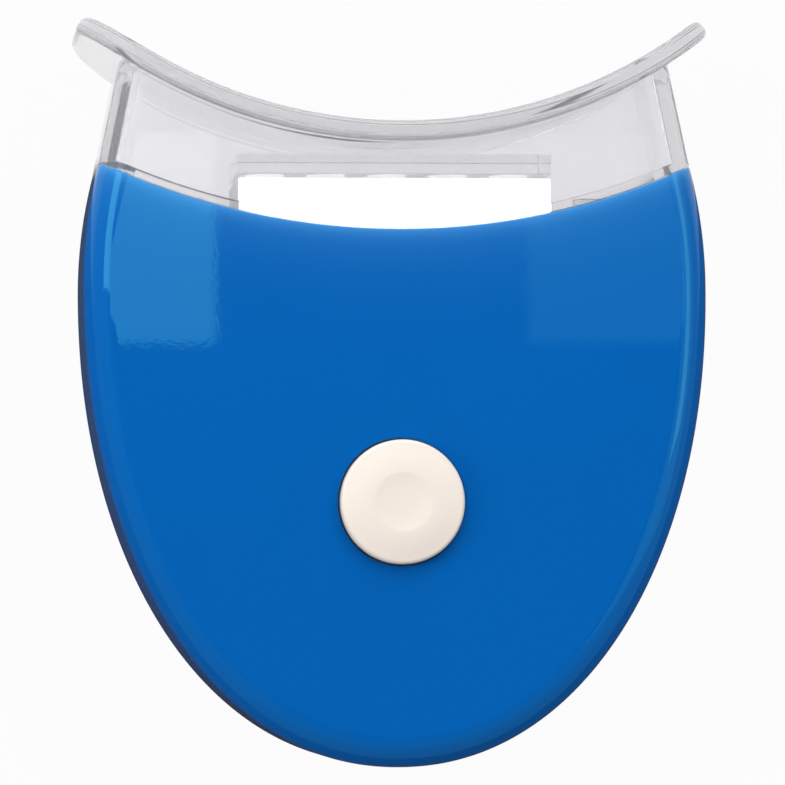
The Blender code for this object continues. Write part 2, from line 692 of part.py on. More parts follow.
def back_shell(lamp):
    """The rear half of the casing, with the raised back, battery well, rails and screw posts."""
    high_z = parting_z - PARTING_GAP / 2
    shell = lamp.part(
        slab("back_shell", housing_outline(), back_z, high_z + EDGE_RADIUS + OVERRUN, EDGE_RADIUS),
        "blue_shell",
    )
    reach = half_width + OVERRUN
    lamp.cut(
        shell,
        box("back_trim", (-reach, tail_y - OVERRUN, high_z), (reach, tip_y * 2, front_z + 2 * OVERRUN)),
    )
    bulge = lamp.helper(raised_back("bulge"))
    foot_radius = RIM_RADIUS + RAISED_RIM_DISTANCE
    lamp.cut(
        bulge,
        rim_cylinder(
            "bulge_slope",
            foot_radius + RAISED_BACK + OVERRUN,
            foot_radius - WALL - OVERRUN,
            -OVERRUN,
            back_inner_z + OVERRUN,
        ),
    )
    boolean(shell, bulge, "UNION")
    lamp.cut(shell, rim_cylinder("back_rim_cut", RIM_RADIUS))
    cavity = slab(
        "back_cavity",
        housing_outline(WALL),
        back_inner_z,
        high_z + EDGE_RADIUS + 2 * OVERRUN,
        EDGE_RADIUS - WALL,
    )
    lamp.cut(shell, cavity)
    ear_low_z = parting_z - EAR_THICKNESS / 2 - SEAT_GAP
    for i, (x, y) in enumerate(case_screw_places):
        top_z = ear_low_z if y > widest_y - TAIL_LENGTH / 2 else high_z
        lamp.add(
            shell, round_bar(f"back_post_{i}", (x, y), POST_RADIUS, back_inner_z - EMBED, top_z, POST_FACETS)
        )
    well_inner = CELL_RADIUS + CELL_CLEARANCE
    lamp.add(
        shell,
        round_bar(
            "well",
            (0.0, cell_y),
            well_inner + WELL_WALL,
            back_inner_z - EMBED,
            board_bottom_z - SEAT_GAP,
            CELL_FACETS,
        ),
    )
    for side in (-1, 1):
        lamp.add(
            shell,
            led_board_rib(f"back_rib_{side + 1}", side, back_inner_z - EMBED, back_inner_z + RIB_REACH),
        )
    lamp.cut(
        shell,
        round_bar("well_bore", (0.0, cell_y), well_inner, -OVERRUN, board_bottom_z + OVERRUN, CELL_FACETS),
    )
    blade_x = well_inner
    blade_foot_z = board_bottom_z - SEAT_GAP - CONTACT_THICKNESS
    lamp.cut(
        shell,
        box(
            "blade_slot",
            (blade_x - CELL_CLEARANCE, cell_y - BLADE_WIDTH / 2 - BLADE_SLOT_SPARE, blade_touch_z - 2 * BLADE_BUMP),
            (
                blade_x + WELL_WALL + EMBED,
                cell_y + BLADE_WIDTH / 2 + BLADE_SLOT_SPARE,
                board_bottom_z + OVERRUN,
            ),
        ),
    )
    lamp.cut(
        shell,
        box(
            "blade_foot_room",
            (blade_x, cell_y - BLADE_WIDTH / 2 - BLADE_SLOT_SPARE, blade_foot_z - BLADE_SLOT_SPARE),
            (
                blade_x + CONTACT_THICKNESS + BLADE_FOOT + BLADE_SLOT_SPARE,
                cell_y + BLADE_WIDTH / 2 + BLADE_SLOT_SPARE,
                board_bottom_z + EMBED,
            ),
        ),
    )
    cut_door_recess(lamp, shell)
    for i, (x, y) in enumerate(case_screw_places):
        lamp.cut(
            shell,
            round_bar(
                f"head_recess_{i}",
                (x, y),
                HEAD_RADIUS + HEAD_CLEARANCE,
                -OVERRUN,
                HEAD_SEAT_HEIGHT,
                POST_FACETS,
            ),
        )
        lamp.cut(
            shell,
            round_bar(
                f"screw_hole_{i}",
                (x, y),
                SCREW_RADIUS + SCREW_CLEARANCE,
                HEAD_SEAT_HEIGHT - EMBED,
                high_z + OVERRUN,
                SCREW_FACETS,
            ),
        )
    return shell


def cut_door_recess(lamp, shell):
    """The recess and grooves in the raised back that the battery door slides in."""
    open_half = DOOR_WIDTH / 2 + DOOR_CLEARANCE
    end_y = door_top_y + DOOR_CLEARANCE
    floor_z = door_high_z + DOOR_CLEARANCE
    runner_z = door_high_z - DOOR_RUNNER_THICKNESS - DOOR_CLEARANCE
    lamp.cut(shell, box("door_recess", (-open_half, tail_y - OVERRUN, -OVERRUN), (open_half, end_y, floor_z)))
    groove_half = open_half + DOOR_RUNNER
    lamp.cut(
        shell, box("door_grooves", (-groove_half, tail_y - OVERRUN, runner_z), (groove_half, end_y, floor_z))
    )
    tab_half = DOOR_TAB_WIDTH / 2 + DOOR_CLEARANCE
    lamp.cut(
        shell,
        box(
            "door_tab_slot",
            (-tab_half, door_top_y - DOOR_TAB_LENGTH, runner_z),
            (tab_half, end_y + DOOR_TAB_LENGTH, floor_z),
        ),
    )


def battery_door(lamp):
    """The sliding cover of the battery well. It leaves towards the tail."""
    door = lamp.part(raised_back("battery_door", DOOR_INSET), "blue_shell")
    half = DOOR_WIDTH / 2
    lamp.keep(
        door,
        box("door_shape", (-half, tail_y - OVERRUN, -OVERRUN), (half, door_top_y, door_high_z)),
    )
    runner_low = door_high_z - DOOR_RUNNER_THICKNESS
    runner_tail = tail_y + RAISED_INSET + DOOR_RUNNER_STOP
    lamp.add(
        door,
        box(
            "door_runners",
            (-half - DOOR_RUNNER, runner_tail, runner_low),
            (half + DOOR_RUNNER, door_top_y, door_high_z),
        ),
    )
    lamp.add(
        door,
        box(
            "door_tab",
            (-DOOR_TAB_WIDTH / 2, door_top_y - DOOR_TAB_LENGTH, runner_low),
            (DOOR_TAB_WIDTH / 2, door_top_y + DOOR_TAB_LENGTH, door_high_z),
        ),
    )
    for i in range(GRIP_COUNT):
        y = tail_y + GRIP_FROM_TAIL + i * GRIP_PITCH
        lamp.cut(
            door,
            box(
                f"grip_{i}",
                (-GRIP_WIDTH / 2, y, -OVERRUN),
                (GRIP_WIDTH / 2, y + GRIP_GROOVE, door_low_z + GRIP_DEPTH),
            ),
        )
    return door


def mouthpiece(lamp):
    """The clear duct, its tongue inside the shells, its two ears and the curved lip flange."""
    block = lamp.part(
        slab("mouthpiece", housing_outline(), back_z, front_z, EDGE_RADIUS),
        "clear_plastic",
    )
    lamp.keep(block, rim_cylinder("duct_foot", RIM_RADIUS - RIM_GAP))
    lamp.cut(block, flange_cylinder("duct_top", FLANGE_RADIUS + FLANGE_THICKNESS / 2))
    tongue_inset = WALL + SEAT_GAP
    tongue = lamp.helper(
        slab(
            "tongue",
            housing_outline(tongue_inset),
            back_z + tongue_inset,
            front_z - tongue_inset,
            EDGE_RADIUS - WALL,
        )
    )
    lamp.keep(tongue, rim_cylinder("tongue_foot", RIM_RADIUS + TONGUE_LENGTH))
    lamp.cut(tongue, rim_cylinder("tongue_top", RIM_RADIUS - LEDGE_HEIGHT / 2 - RIM_GAP))
    boolean(block, tongue, "UNION")
    hollow = lamp.helper(
        slab(
            "duct_hollow",
            housing_outline(CLEAR_WALL),
            back_z + CLEAR_WALL,
            front_z - CLEAR_WALL,
            EDGE_RADIUS - CLEAR_WALL,
        )
    )
    lamp.keep(hollow, rim_cylinder("hollow_foot", RIM_RADIUS - LEDGE_HEIGHT))
    lamp.cut(hollow, flange_cylinder("hollow_top", FLANGE_RADIUS + FLANGE_THICKNESS))
    boolean(block, hollow, "DIFFERENCE")
    throat_inset = tongue_inset + TONGUE_WALL
    throat = lamp.helper(
        slab(
            "throat",
            housing_outline(throat_inset),
            back_z + throat_inset,
            front_z - throat_inset,
        )
    )
    lamp.keep(throat, rim_cylinder("throat_foot", RIM_RADIUS + TONGUE_LENGTH + OVERRUN))
    lamp.cut(throat, rim_cylinder("throat_top", RIM_RADIUS - LEDGE_HEIGHT - OVERRUN / 2))
    boolean(block, throat, "DIFFERENCE")
    for i, (x, y) in enumerate(case_screw_places[:2]):
        lamp.add(block, ear(f"ear_{i}", x, y))
        lamp.cut(
            block,
            round_bar(
                f"ear_hole_{i}",
                (x, y),
                EAR_HOLE_RADIUS,
                parting_z - EAR_THICKNESS,
                parting_z + EAR_THICKNESS,
                SCREW_FACETS,
            ),
        )
    flange = lamp.helper(flange_plate())
    boolean(block, flange, "UNION")
    return block


def ear(name, x, y):
    """A flat tab from the tongue's side wall down to a case screw."""
    top_y = shoulder_y - TONGUE_LENGTH
    side = math.copysign(1.0, x)
    wall_x = shoulder_half - WALL - SEAT_GAP - TONGUE_WALL / 2
    half = EAR_WIDTH / 2
    outline = [
        (x - half, y - EAR_SPARE / 2),
        (x - half / 2, y - EAR_SPARE),
        (x + half / 2, y - EAR_SPARE),
        (x + half, y - EAR_SPARE / 2),
    ]
    if side > 0:
        outline += [(wall_x, top_y), (x - half, top_y)]
    else:
        outline += [(x + half, top_y), (-wall_x, top_y)]
    return slab(name, outline, parting_z - EAR_THICKNESS / 2, parting_z + EAR_THICKNESS / 2)


def flange_plate():
    """The lip flange: a ring about its own axis, kept within a rounded rectangle that widens away from the axis."""
    plate = flange_cylinder("flange", FLANGE_RADIUS + FLANGE_THICKNESS)
    inner = flange_cylinder("flange_bore", FLANGE_RADIUS)
    face = slab(
        "flange_face",
        rounded_rectangle(FLANGE_WIDTH, FLANGE_DEPTH, FLANGE_CORNER_RADIUS, 2 * EDGE_STEPS),
        flange_floor_y - FLANGE_THICKNESS - OVERRUN,
        tip_y + OVERRUN,
    )
    face.data.transform(Matrix.Translation((0.0, 0.0, parting_z)) @ Matrix.Rotation(-math.pi / 2, 4, "X"))
    for vertex in face.data.vertices:
        lean = math.tan(math.asin(vertex.co.x / FLANGE_RADIUS))
        vertex.co.x = lean * (flange_axis_y - vertex.co.y)
    for helper in (inner, face):
        place(helper, bpy.data.collections["cutters"])
    boolean(plate, inner, "DIFFERENCE")
    boolean(plate, face, "INTERSECT")
    bevel = plate.modifiers.new("edge_round", "BEVEL")
    bevel.width = FLANGE_EDGE_ROUND
    bevel.segments = 2
    bevel.limit_method = "ANGLE"
    bevel.angle_limit = math.radians(SHARP_DEG)
    return plate


def button(lamp):
    """The white push button: a domed cap with a finger dimple, a stop flange and a plunger socket."""
    edge_z = front_z + BUTTON_STAND
    flange_top = front_inner_z - BUTTON_STOP_GAP
    flange_low = flange_top - BUTTON_FLANGE_HEIGHT
    dimple_z = edge_z + BUTTON_CROWN - BUTTON_DIMPLE_DEPTH
    crown_z = edge_z + BUTTON_CROWN
    socket_inner = PLUNGER_RADIUS + SOCKET_CLEARANCE
    socket_outer = socket_inner + SOCKET_WALL
    roof_z = edge_z - BUTTON_CAP_WALL
    skirt_inner = BUTTON_RADIUS - BUTTON_SKIRT_WALL
    rim = BUTTON_RADIUS - BUTTON_EDGE_ROUND
    profile = [
        (0.0, dimple_z),
        (BUTTON_DIMPLE_RADIUS / 2, dimple_z + BUTTON_DIMPLE_DEPTH / 4),
        (BUTTON_DIMPLE_RADIUS, crown_z),
        ((BUTTON_DIMPLE_RADIUS + rim) / 2, crown_z - BUTTON_CROWN / 4),
        (rim, edge_z),
        (rim + BUTTON_EDGE_ROUND * math.sin(math.pi / 4), edge_z - BUTTON_EDGE_ROUND * (1 - math.cos(math.pi / 4))),
        (BUTTON_RADIUS, edge_z - BUTTON_EDGE_ROUND),
        (BUTTON_RADIUS, flange_top),
        (BUTTON_FLANGE_RADIUS, flange_top),
        (BUTTON_FLANGE_RADIUS, flange_low),
        (skirt_inner, flange_low),
        (skirt_inner, roof_z),
        (socket_outer, roof_z),
        (socket_outer, flange_low),
        (socket_inner, flange_low),
        (socket_inner, roof_z - SEAT_GAP),
        (0.0, roof_z - SEAT_GAP),
    ]
    return lamp.part(turned("button", profile, BUTTON_FACETS, (0.0, button_y)), "white_button")


def switch(lamp):
    """The push switch on the board: its body, the plunger that rides with the button, and its spring."""
    low_z = board_top_z + SEAT_GAP
    high_z = low_z + SWITCH_HEIGHT
    half = SWITCH_SIDE / 2
    body = lamp.part(
        box("switch_body", (-half, button_y - half, low_z), (half, button_y + half, high_z)),
        "switch_plastic",
    )
    lamp.cut(
        body,
        round_bar(
            "switch_bore",
            (0.0, button_y),
            SWITCH_BORE_RADIUS,
            low_z + SWITCH_FLOOR,
            high_z - SWITCH_ROOF,
            POST_FACETS,
        ),
    )
    lamp.cut(
        body,
        round_bar(
            "switch_mouth",
            (0.0, button_y),
            PLUNGER_RADIUS + PLUNGER_CLEARANCE,
            high_z - SWITCH_ROOF - EMBED,
            high_z + OVERRUN,
            POST_FACETS,
        ),
    )
    collar_top = high_z - SWITCH_ROOF - SEAT_GAP
    collar_low = collar_top - PLUNGER_COLLAR_HEIGHT
    roof_z = front_z + BUTTON_STAND - BUTTON_CAP_WALL
    plunger_top = roof_z - 2 * SEAT_GAP
    profile = [
        (0.0, plunger_top),
        (PLUNGER_RADIUS, plunger_top),
        (PLUNGER_RADIUS, collar_top),
        (PLUNGER_COLLAR_RADIUS, collar_top),
        (PLUNGER_COLLAR_RADIUS, collar_low),
        (PLUNGER_SPIGOT_RADIUS, collar_low),
        (PLUNGER_SPIGOT_RADIUS, collar_low - PLUNGER_SPIGOT_LENGTH),
        (0.0, collar_low - PLUNGER_SPIGOT_LENGTH),
    ]
    lamp.part(turned("switch_plunger", profile, POST_FACETS, (0.0, button_y)), "white_reflector")
    spring_low = low_z + SWITCH_FLOOR + SEAT_GAP / 2 + SPRING_WIRE / 2
    spring_high = collar_low - SEAT_GAP / 2 - SPRING_WIRE / 2
    pitch = (spring_high - spring_low) / SPRING_TURNS
    count = int(SPRING_TURNS * SPRING_POINTS_PER_TURN)
    points = []
    for i in range(count + 1):
        angle = 2 * math.pi * i / SPRING_POINTS_PER_TURN
        points.append(
            (
                SPRING_RADIUS * math.cos(angle),
                button_y + SPRING_RADIUS * math.sin(angle),
                spring_low + (spring_high - spring_low) * i / count,
            )
        )
    print(f"switch_spring: least gap between turns {(pitch - SPRING_WIRE) / MM:.2f} mm")
    lamp.part(tube("switch_spring", points, SPRING_WIRE / 2, 1), "steel")


def main_board(lamp):
    """The circuit board behind the button."""
    centre_y = (board_low_y + board_high_y) / 2
    outline = [
        (x, y + centre_y) for x, y in rounded_rectangle(board_width, BOARD_LENGTH, BOARD_CORNER_RADIUS)
    ]
    board = lamp.part(slab("main_board", outline, board_bottom_z, board_top_z), "circuit_board")
    for i, (x, y) in enumerate(board_screw_places):
        lamp.cut(
            board,
            round_bar(
                f"board_hole_{i}",
                (x, y),
                BOARD_SCREW_RADIUS + SCREW_CLEARANCE,
                board_bottom_z - OVERRUN,
                board_top_z + OVERRUN,
                SCREW_FACETS,
            ),
        )
    for i, y in enumerate(resistor_lead_places()):
        lamp.cut(
            board,
            round_bar(
                f"resistor_hole_{i}",
                (resistor_x, y),
                RESISTOR_LEAD_RADIUS + PIN_CLEARANCE,
                board_bottom_z - OVERRUN,
                board_top_z + OVERRUN,
                SCREW_FACETS,
            ),
        )


def resistor_lead_places():
    middle = button_y - RESISTOR_FROM_BUTTON
    return (middle - RESISTOR_LEAD_SPAN / 2, middle + RESISTOR_LEAD_SPAN / 2)


def resistor(lamp):
    """The axial resistor that limits the lamps' current, its leads bent down through the board."""
    low_y, high_y = resistor_lead_places()
    axis_z = board_top_z + RESISTOR_HEIGHT
    tip_z = board_bottom_z - PIN_SPARE
    bend = RESISTOR_LEAD_RADIUS * 2
    path = [
        (resistor_x, low_y, tip_z),
        (resistor_x, low_y, axis_z - bend),
        (resistor_x, low_y + bend, axis_z),
        (resistor_x, high_y - bend, axis_z),
        (resistor_x, high_y, axis_z - bend),
        (resistor_x, high_y, tip_z),
    ]
    half = RESISTOR_LENGTH / 2
    profile = [
        (0.0, half),
        (RESISTOR_RADIUS - RESISTOR_WAIST, half),
        (RESISTOR_RADIUS, half / 2),
        (RESISTOR_RADIUS - RESISTOR_WAIST, 0.0),
        (RESISTOR_RADIUS, -half / 2),
        (RESISTOR_RADIUS - RESISTOR_WAIST, -half),
        (0.0, -half),
    ]
    body = turned("resistor", profile, SCREW_FACETS)
    body.rotation_euler = (math.pi / 2, 0.0, 0.0)
    body.location = (resistor_x, (low_y + high_y) / 2, axis_z)
    lamp.part(body, "resistor_body")
    guide = tube("resistor_lead_guide", path, RESISTOR_LEAD_RADIUS, 1)
    bpy.context.scene.collection.objects.link(guide)
    lamp.add(body, mesh_from_curve("resistor_lead", guide))


def coin_cells(lamp):
    """Two cells stacked in the well, each with its wide pole towards the door."""
    for i, low_z in enumerate((lower_cell_z, upper_cell_z)):
        top_z = low_z + CELL_THICKNESS
        step_z = top_z - CELL_CAP_STEP
        profile = [
            (0.0, top_z),
            (CELL_CAP_RADIUS, top_z),
            (CELL_CAP_RADIUS, step_z),
            (CELL_RADIUS - CELL_CHAMFER, step_z),
            (CELL_RADIUS, step_z - CELL_CHAMFER),
            (CELL_RADIUS, low_z + CELL_CHAMFER),
            (CELL_RADIUS - CELL_CHAMFER, low_z),
            (0.0, low_z),
        ]
        lamp.part(turned(f"coin_cell_{i + 1}", profile, CELL_FACETS, (0.0, cell_y)), "cell_steel")


def contacts(lamp):
    """The leaf on the cells' narrow pole and the blade at the lower cell's side."""
    high_z = board_bottom_z - SEAT_GAP - CONTACT_THICKNESS / 2
    touch_z = cell_stack_top_z + SEAT_GAP + CONTACT_THICKNESS / 2
    start_y = cell_y + CONTACT_FOOT
    path = [
        (start_y, high_z),
        (cell_y, high_z),
        (cell_y - CONTACT_REACH, touch_z),
        (cell_y - CONTACT_REACH - CONTACT_CURL, touch_z + CONTACT_CURL / 2),
    ]
    leaf = slab("negative_contact", strip_outline(path, CONTACT_THICKNESS), -CONTACT_WIDTH / 2, CONTACT_WIDTH / 2)
    leaf.data.transform(Matrix(((0, 0, 1, 0), (1, 0, 0, 0), (0, 1, 0, 0), (0, 0, 0, 1))))
    lamp.part(leaf, "brass")

    rest_x = CELL_RADIUS + CELL_CLEARANCE + CONTACT_THICKNESS
    touch_x = CELL_RADIUS + SEAT_GAP + CONTACT_THICKNESS / 2
    path = [
        (rest_x + BLADE_FOOT, high_z),
        (rest_x, high_z),
        (rest_x, blade_touch_z + BLADE_BUMP * 3),
        (touch_x, blade_touch_z),
        (rest_x, blade_touch_z - BLADE_BUMP),
    ]
    blade = slab("positive_contact", strip_outline(path, CONTACT_THICKNESS), -BLADE_WIDTH / 2, BLADE_WIDTH / 2)
    blade.data.transform(
        Matrix.Translation((0.0, cell_y, 0.0)) @ Matrix(((1, 0, 0, 0), (0, 0, -1, 0), (0, 1, 0, 0), (0, 0, 0, 1)))
    )
    lamp.part(blade, "brass")


def led_places():
    return [(i - (LED_COUNT - 1) / 2) * LED_PITCH for i in range(LED_COUNT)]


def turn_to_y(obj, x, y):
    """Lays an upright piece along +Y, its foot at the given place on the mid-plane."""
    obj.rotation_euler = (-math.pi / 2, 0.0, 0.0)
    obj.location = (x, y, parting_z)
    return obj


def light_engine(lamp):
    """The row of lamps in their white reflector, the board they are soldered to and the lens over them."""
    led_low = led_board_top_y + SEAT_GAP
    dome_low = LED_HEIGHT - LED_RADIUS
    for i, x in enumerate(led_places()):
        profile = [(0.0, LED_HEIGHT)]
        for step in range(1, LED_DOME_STEPS + 1):
            angle = math.pi / 2 * step / LED_DOME_STEPS
            profile.append((LED_RADIUS * math.sin(angle), dome_low + LED_RADIUS * math.cos(angle)))
        profile += [
            (LED_RADIUS, LED_FLANGE_HEIGHT),
            (LED_FLANGE_RADIUS, LED_FLANGE_HEIGHT),
            (LED_FLANGE_RADIUS, 0.0),
            (0.0, 0.0),
        ]
        led = turn_to_y(turned(f"led_{i + 1}", profile, LED_FACETS), x, led_low)
        lamp.part(led, "led_epoxy")
        for side in (-1, 1):
            lead_x = x + side * LED_LEAD_PITCH / 2
            half = LED_LEAD_SIDE / 2
            lamp.add(
                led,
                box(
                    f"led_lead_{i}_{side + 1}",
                    (lead_x - half, led_board_low_y - PIN_SPARE, parting_z - half),
                    (lead_x + half, led_low + EMBED, parting_z + half),
                ),
            )

    reflector = slab(
        "reflector",
        rounded_rectangle(reflector_width, REFLECTOR_DEPTH, REFLECTOR_CORNER, 2),
        0.0,
        REFLECTOR_HEIGHT,
    )
    lamp.part(turn_to_y(reflector, 0.0, reflector_low_y), "white_reflector")
    led_offset = led_low - reflector_low_y
    throat_radius = LED_RADIUS + LED_CLEARANCE
    throat_low = led_offset + LED_FLANGE_HEIGHT + LED_CLEARANCE
    cup_low = led_offset + LED_HEIGHT - 2 * LED_RADIUS
    for i, x in enumerate(led_places()):
        bore = [
            (0.0, REFLECTOR_HEIGHT + OVERRUN),
            (CUP_MOUTH_RADIUS, REFLECTOR_HEIGHT + OVERRUN),
            (CUP_MOUTH_RADIUS, REFLECTOR_HEIGHT),
            (throat_radius, cup_low),
            (throat_radius, throat_low),
            (LED_FLANGE_RADIUS + LED_CLEARANCE, throat_low),
            (LED_FLANGE_RADIUS + LED_CLEARANCE, -OVERRUN),
            (0.0, -OVERRUN),
        ]
        lamp.cut(reflector, turn_to_y(turned(f"cup_{i}", bore, CUP_FACETS), x, reflector_low_y))

    lens = slab(
        "lens_plate",
        rounded_rectangle(reflector_width, REFLECTOR_DEPTH, LENS_CORNER, 2),
        0.0,
        LENS_THICKNESS,
    )
    lamp.part(turn_to_y(lens, 0.0, reflector_top_y + SEAT_GAP), "clear_plastic")

    half_x, half_z = led_board_width / 2, LED_BOARD_DEPTH / 2
    board = box(
        "led_board",
        (-half_x, led_board_low_y, parting_z - half_z),
        (half_x, led_board_top_y, parting_z + half_z),
    )
    lamp.part(board, "circuit_board")
    half_slot = LED_LEAD_SIDE / 2 + PIN_CLEARANCE
    for i, x in enumerate(led_places()):
        for side in (-1, 1):
            lead_x = x + side * LED_LEAD_PITCH / 2
            lamp.cut(
                board,
                box(
                    f"lead_hole_{i}_{side + 1}",
                    (lead_x - half_slot, led_board_low_y - OVERRUN, parting_z - half_slot),
                    (lead_x + half_slot, led_board_top_y + OVERRUN, parting_z + half_slot),
                ),
            )


def board_leads(lamp):
    """The two insulated leads from the main board to the lamp board."""
    start_y = board_high_y - LEAD_BOARD_INSET
    end_y = led_board_low_y - LEAD_STANDOFF
    start_z = board_top_z + LEAD_STANDOFF
    for side, name, material in ((-1, "negative_lead", "black_insulation"), (1, "positive_lead", "red_insulation")):
        near_x, far_x = side * lead_near_x, side * lead_far_x
        span = end_y - start_y
        route = [
            (near_x, start_y, start_z),
            (near_x, start_y, start_z + LEAD_HUMP / 2),
            (near_x, start_y + span / 6, start_z + LEAD_HUMP),
            ((near_x + far_x) / 2, start_y + span / 2, start_z + LEAD_HUMP),
            (far_x, end_y - span / 6, parting_z + LEAD_HUMP / 2),
            (far_x, end_y, parting_z + LEAD_HUMP / 2),
        ]
        lamp.part(tube(name, smooth_route(route, LEAD_STEPS // 4), LEAD_DIAMETER / 2), material)


def screw(lamp, name, place_xy, head_low_z, length, radius, head_radius, head_height):
    """A pan-head screw that points up, with a cross recess in its head."""
    head_top = head_low_z + head_height
    tip_z = head_top + length
    profile = [
        (0.0, tip_z),
        (radius / 2, tip_z),
        (radius, tip_z - SCREW_POINT),
        (radius, head_top),
        (head_radius, head_top),
        (head_radius, head_low_z + HEAD_ROUND),
        (head_radius - HEAD_ROUND, head_low_z),
        (0.0, head_low_z),
    ]
    obj = lamp.part(turned(name, profile, SCREW_FACETS, place_xy), "steel")
    x, y = place_xy
    arm = head_radius - HEAD_ROUND
    half = SCREW_SLOT_WIDTH / 2
    for label, half_x, half_y in (("a", arm, half), ("b", half, arm)):
        lamp.cut(
            obj,
            box(
                f"{name}_slot_{label}",
                (x - half_x, y - half_y, head_low_z - OVERRUN),
                (x + half_x, y + half_y, head_low_z + SCREW_SLOT_DEPTH),
            ),
        )


def screws(lamp):
    for i, place_xy in enumerate(case_screw_places):
        head_low = HEAD_SEAT_HEIGHT - SEAT_GAP - HEAD_HEIGHT
        screw(
            lamp,
            f"case_screw_{i + 1}",
            place_xy,
            head_low,
            CASE_SCREW_LENGTH,
            SCREW_RADIUS,
            HEAD_RADIUS,
            HEAD_HEIGHT,
        )
    for i, place_xy in enumerate(board_screw_places):
        head_low = board_bottom_z - SEAT_GAP - BOARD_SCREW_HEAD_HEIGHT
        screw(
            lamp,
            f"board_screw_{i + 1}",
            place_xy,
            head_low,
            BOARD_SCREW_LENGTH,
            BOARD_SCREW_RADIUS,
            BOARD_SCREW_HEAD_RADIUS,
            BOARD_SCREW_HEAD_HEIGHT,
        )


def main():
    clear_scene()
    lamp = Lamp()
    front_shell(lamp)
    back_shell(lamp)
    battery_door(lamp)
    mouthpiece(lamp)
    button(lamp)
    switch(lamp)
    main_board(lamp)
    resistor(lamp)
    coin_cells(lamp)
    contacts(lamp)
    light_engine(lamp)
    board_leads(lamp)
    screws(lamp)


main()
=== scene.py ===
"""A hand-held teeth whitening lamp, dressed for looks on its packed frame.

The lamp lies on its back: +Y runs to the clear mouthpiece, +X to the right and +Z to the push button.
"""

import math

import bmesh
import bpy
from bpy.props import FloatProperty, FloatVectorProperty, IntProperty, PointerProperty
from mathutils import Matrix, Vector


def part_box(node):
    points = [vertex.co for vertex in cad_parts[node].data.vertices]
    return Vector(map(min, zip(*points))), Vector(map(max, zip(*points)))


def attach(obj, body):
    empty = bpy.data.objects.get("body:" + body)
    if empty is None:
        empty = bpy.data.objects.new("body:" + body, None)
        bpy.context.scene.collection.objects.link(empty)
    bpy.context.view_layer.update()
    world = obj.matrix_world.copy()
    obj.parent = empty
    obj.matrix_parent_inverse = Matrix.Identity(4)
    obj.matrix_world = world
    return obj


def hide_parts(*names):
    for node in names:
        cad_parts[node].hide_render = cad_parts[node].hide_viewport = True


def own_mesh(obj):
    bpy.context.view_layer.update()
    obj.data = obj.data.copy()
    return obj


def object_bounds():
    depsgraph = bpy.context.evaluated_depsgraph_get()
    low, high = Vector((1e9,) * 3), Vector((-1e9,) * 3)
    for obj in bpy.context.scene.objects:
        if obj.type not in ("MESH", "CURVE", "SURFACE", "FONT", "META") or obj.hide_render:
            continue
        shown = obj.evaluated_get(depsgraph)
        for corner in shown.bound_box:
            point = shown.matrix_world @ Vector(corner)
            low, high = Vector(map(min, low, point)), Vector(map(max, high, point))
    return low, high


bl_info = {
    "name": "Teeth whitening lamp",
    "version": (1, 0, 0),
    "blender": (4, 5, 0),
    "location": "3D View > Sidebar > Whitening Lamp",
    "description": "Builds the shells, mouthpiece, button and light engine of a teeth whitening lamp",
    "category": "Add Mesh",
}

MM = 0.001

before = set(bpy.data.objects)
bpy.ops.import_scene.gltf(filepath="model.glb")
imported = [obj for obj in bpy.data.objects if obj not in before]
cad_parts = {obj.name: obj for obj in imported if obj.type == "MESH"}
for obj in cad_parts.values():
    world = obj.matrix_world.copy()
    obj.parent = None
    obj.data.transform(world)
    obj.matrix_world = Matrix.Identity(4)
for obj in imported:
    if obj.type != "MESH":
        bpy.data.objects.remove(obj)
cad_low, cad_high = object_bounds()


def middle(corners):
    return (corners[0] + corners[1]) / 2


# Places that the frame gives
front_low, front_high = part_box("front_shell")
back_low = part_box("back_shell")[0]
mouth_low, mouth_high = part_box("mouthpiece")
button_low, button_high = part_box("button")
plunger_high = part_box("switch_plunger")[1]
door_low, door_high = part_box("battery_door")
reflector_low, reflector_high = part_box("reflector")
lens_low, lens_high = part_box("lens_plate")
board_low, board_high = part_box("main_board")
led_board_low, led_board_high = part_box("led_board")
lamp_low, lamp_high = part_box("led_1")
cell_low, cell_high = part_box("coin_cell_1")
case_screw_boxes = [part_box(f"case_screw_{i}") for i in (1, 2, 3, 4)]
board_screw_boxes = [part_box(f"board_screw_{i}") for i in (1, 2)]
case_places = [middle(corners).xy for corners in case_screw_boxes]
board_places = [middle(corners).xy for corners in board_screw_boxes]

half_width = front_high.x
tail_y, shoulder_y = front_low.y, front_high.y
front_z = front_high.z
parting_z = (mouth_low.z + mouth_high.z) / 2
back_wall_z = 2 * parting_z - front_z
tip_y = mouth_high.y
button_y = (button_low.y + button_high.y) / 2
button_axis = (0.0, button_y)
cell_axis = (0.0, (cell_low.y + cell_high.y) / 2)
seat_gap = lens_low.y - reflector_high.y  # between two pieces that rest on each other

OVERRUN = 4.0 * MM  # how far a cutting form reaches past what it cuts
EMBED = 0.5 * MM  # how far a joined form reaches into its neighbour
ARC_STEPS = 720
ROUND_STEPS = 96
POST_STEPS = 48
EDGE_STEPS = 8
OUTLINE_POINTS = 420
SHARP = math.radians(32.0)
CRISP_ANGLE = math.radians(48.0)
MERGE = 0.0005 * MM
TINY = 0.00002 * MM
FINISH = "_finish"
WHITE = (1.0, 1.0, 1.0, 1.0)


def number(name, description, default, **limits):
    """A number that a user can change."""
    return FloatProperty(name=name, description=description, default=default, **limits)


def length(name, description, millimetres):
    """A length that a user can change, given in millimetres."""
    limits = {"min": 0.0, "precision": 5, "subtype": "DISTANCE", "unit": "LENGTH"}
    return number(name, description, millimetres * MM, **limits)


def degrees(name, description, default):
    return number(name, description, math.radians(default), subtype="ANGLE")


def count(name, description, default):
    return IntProperty(name=name, description=description, default=default, min=1)


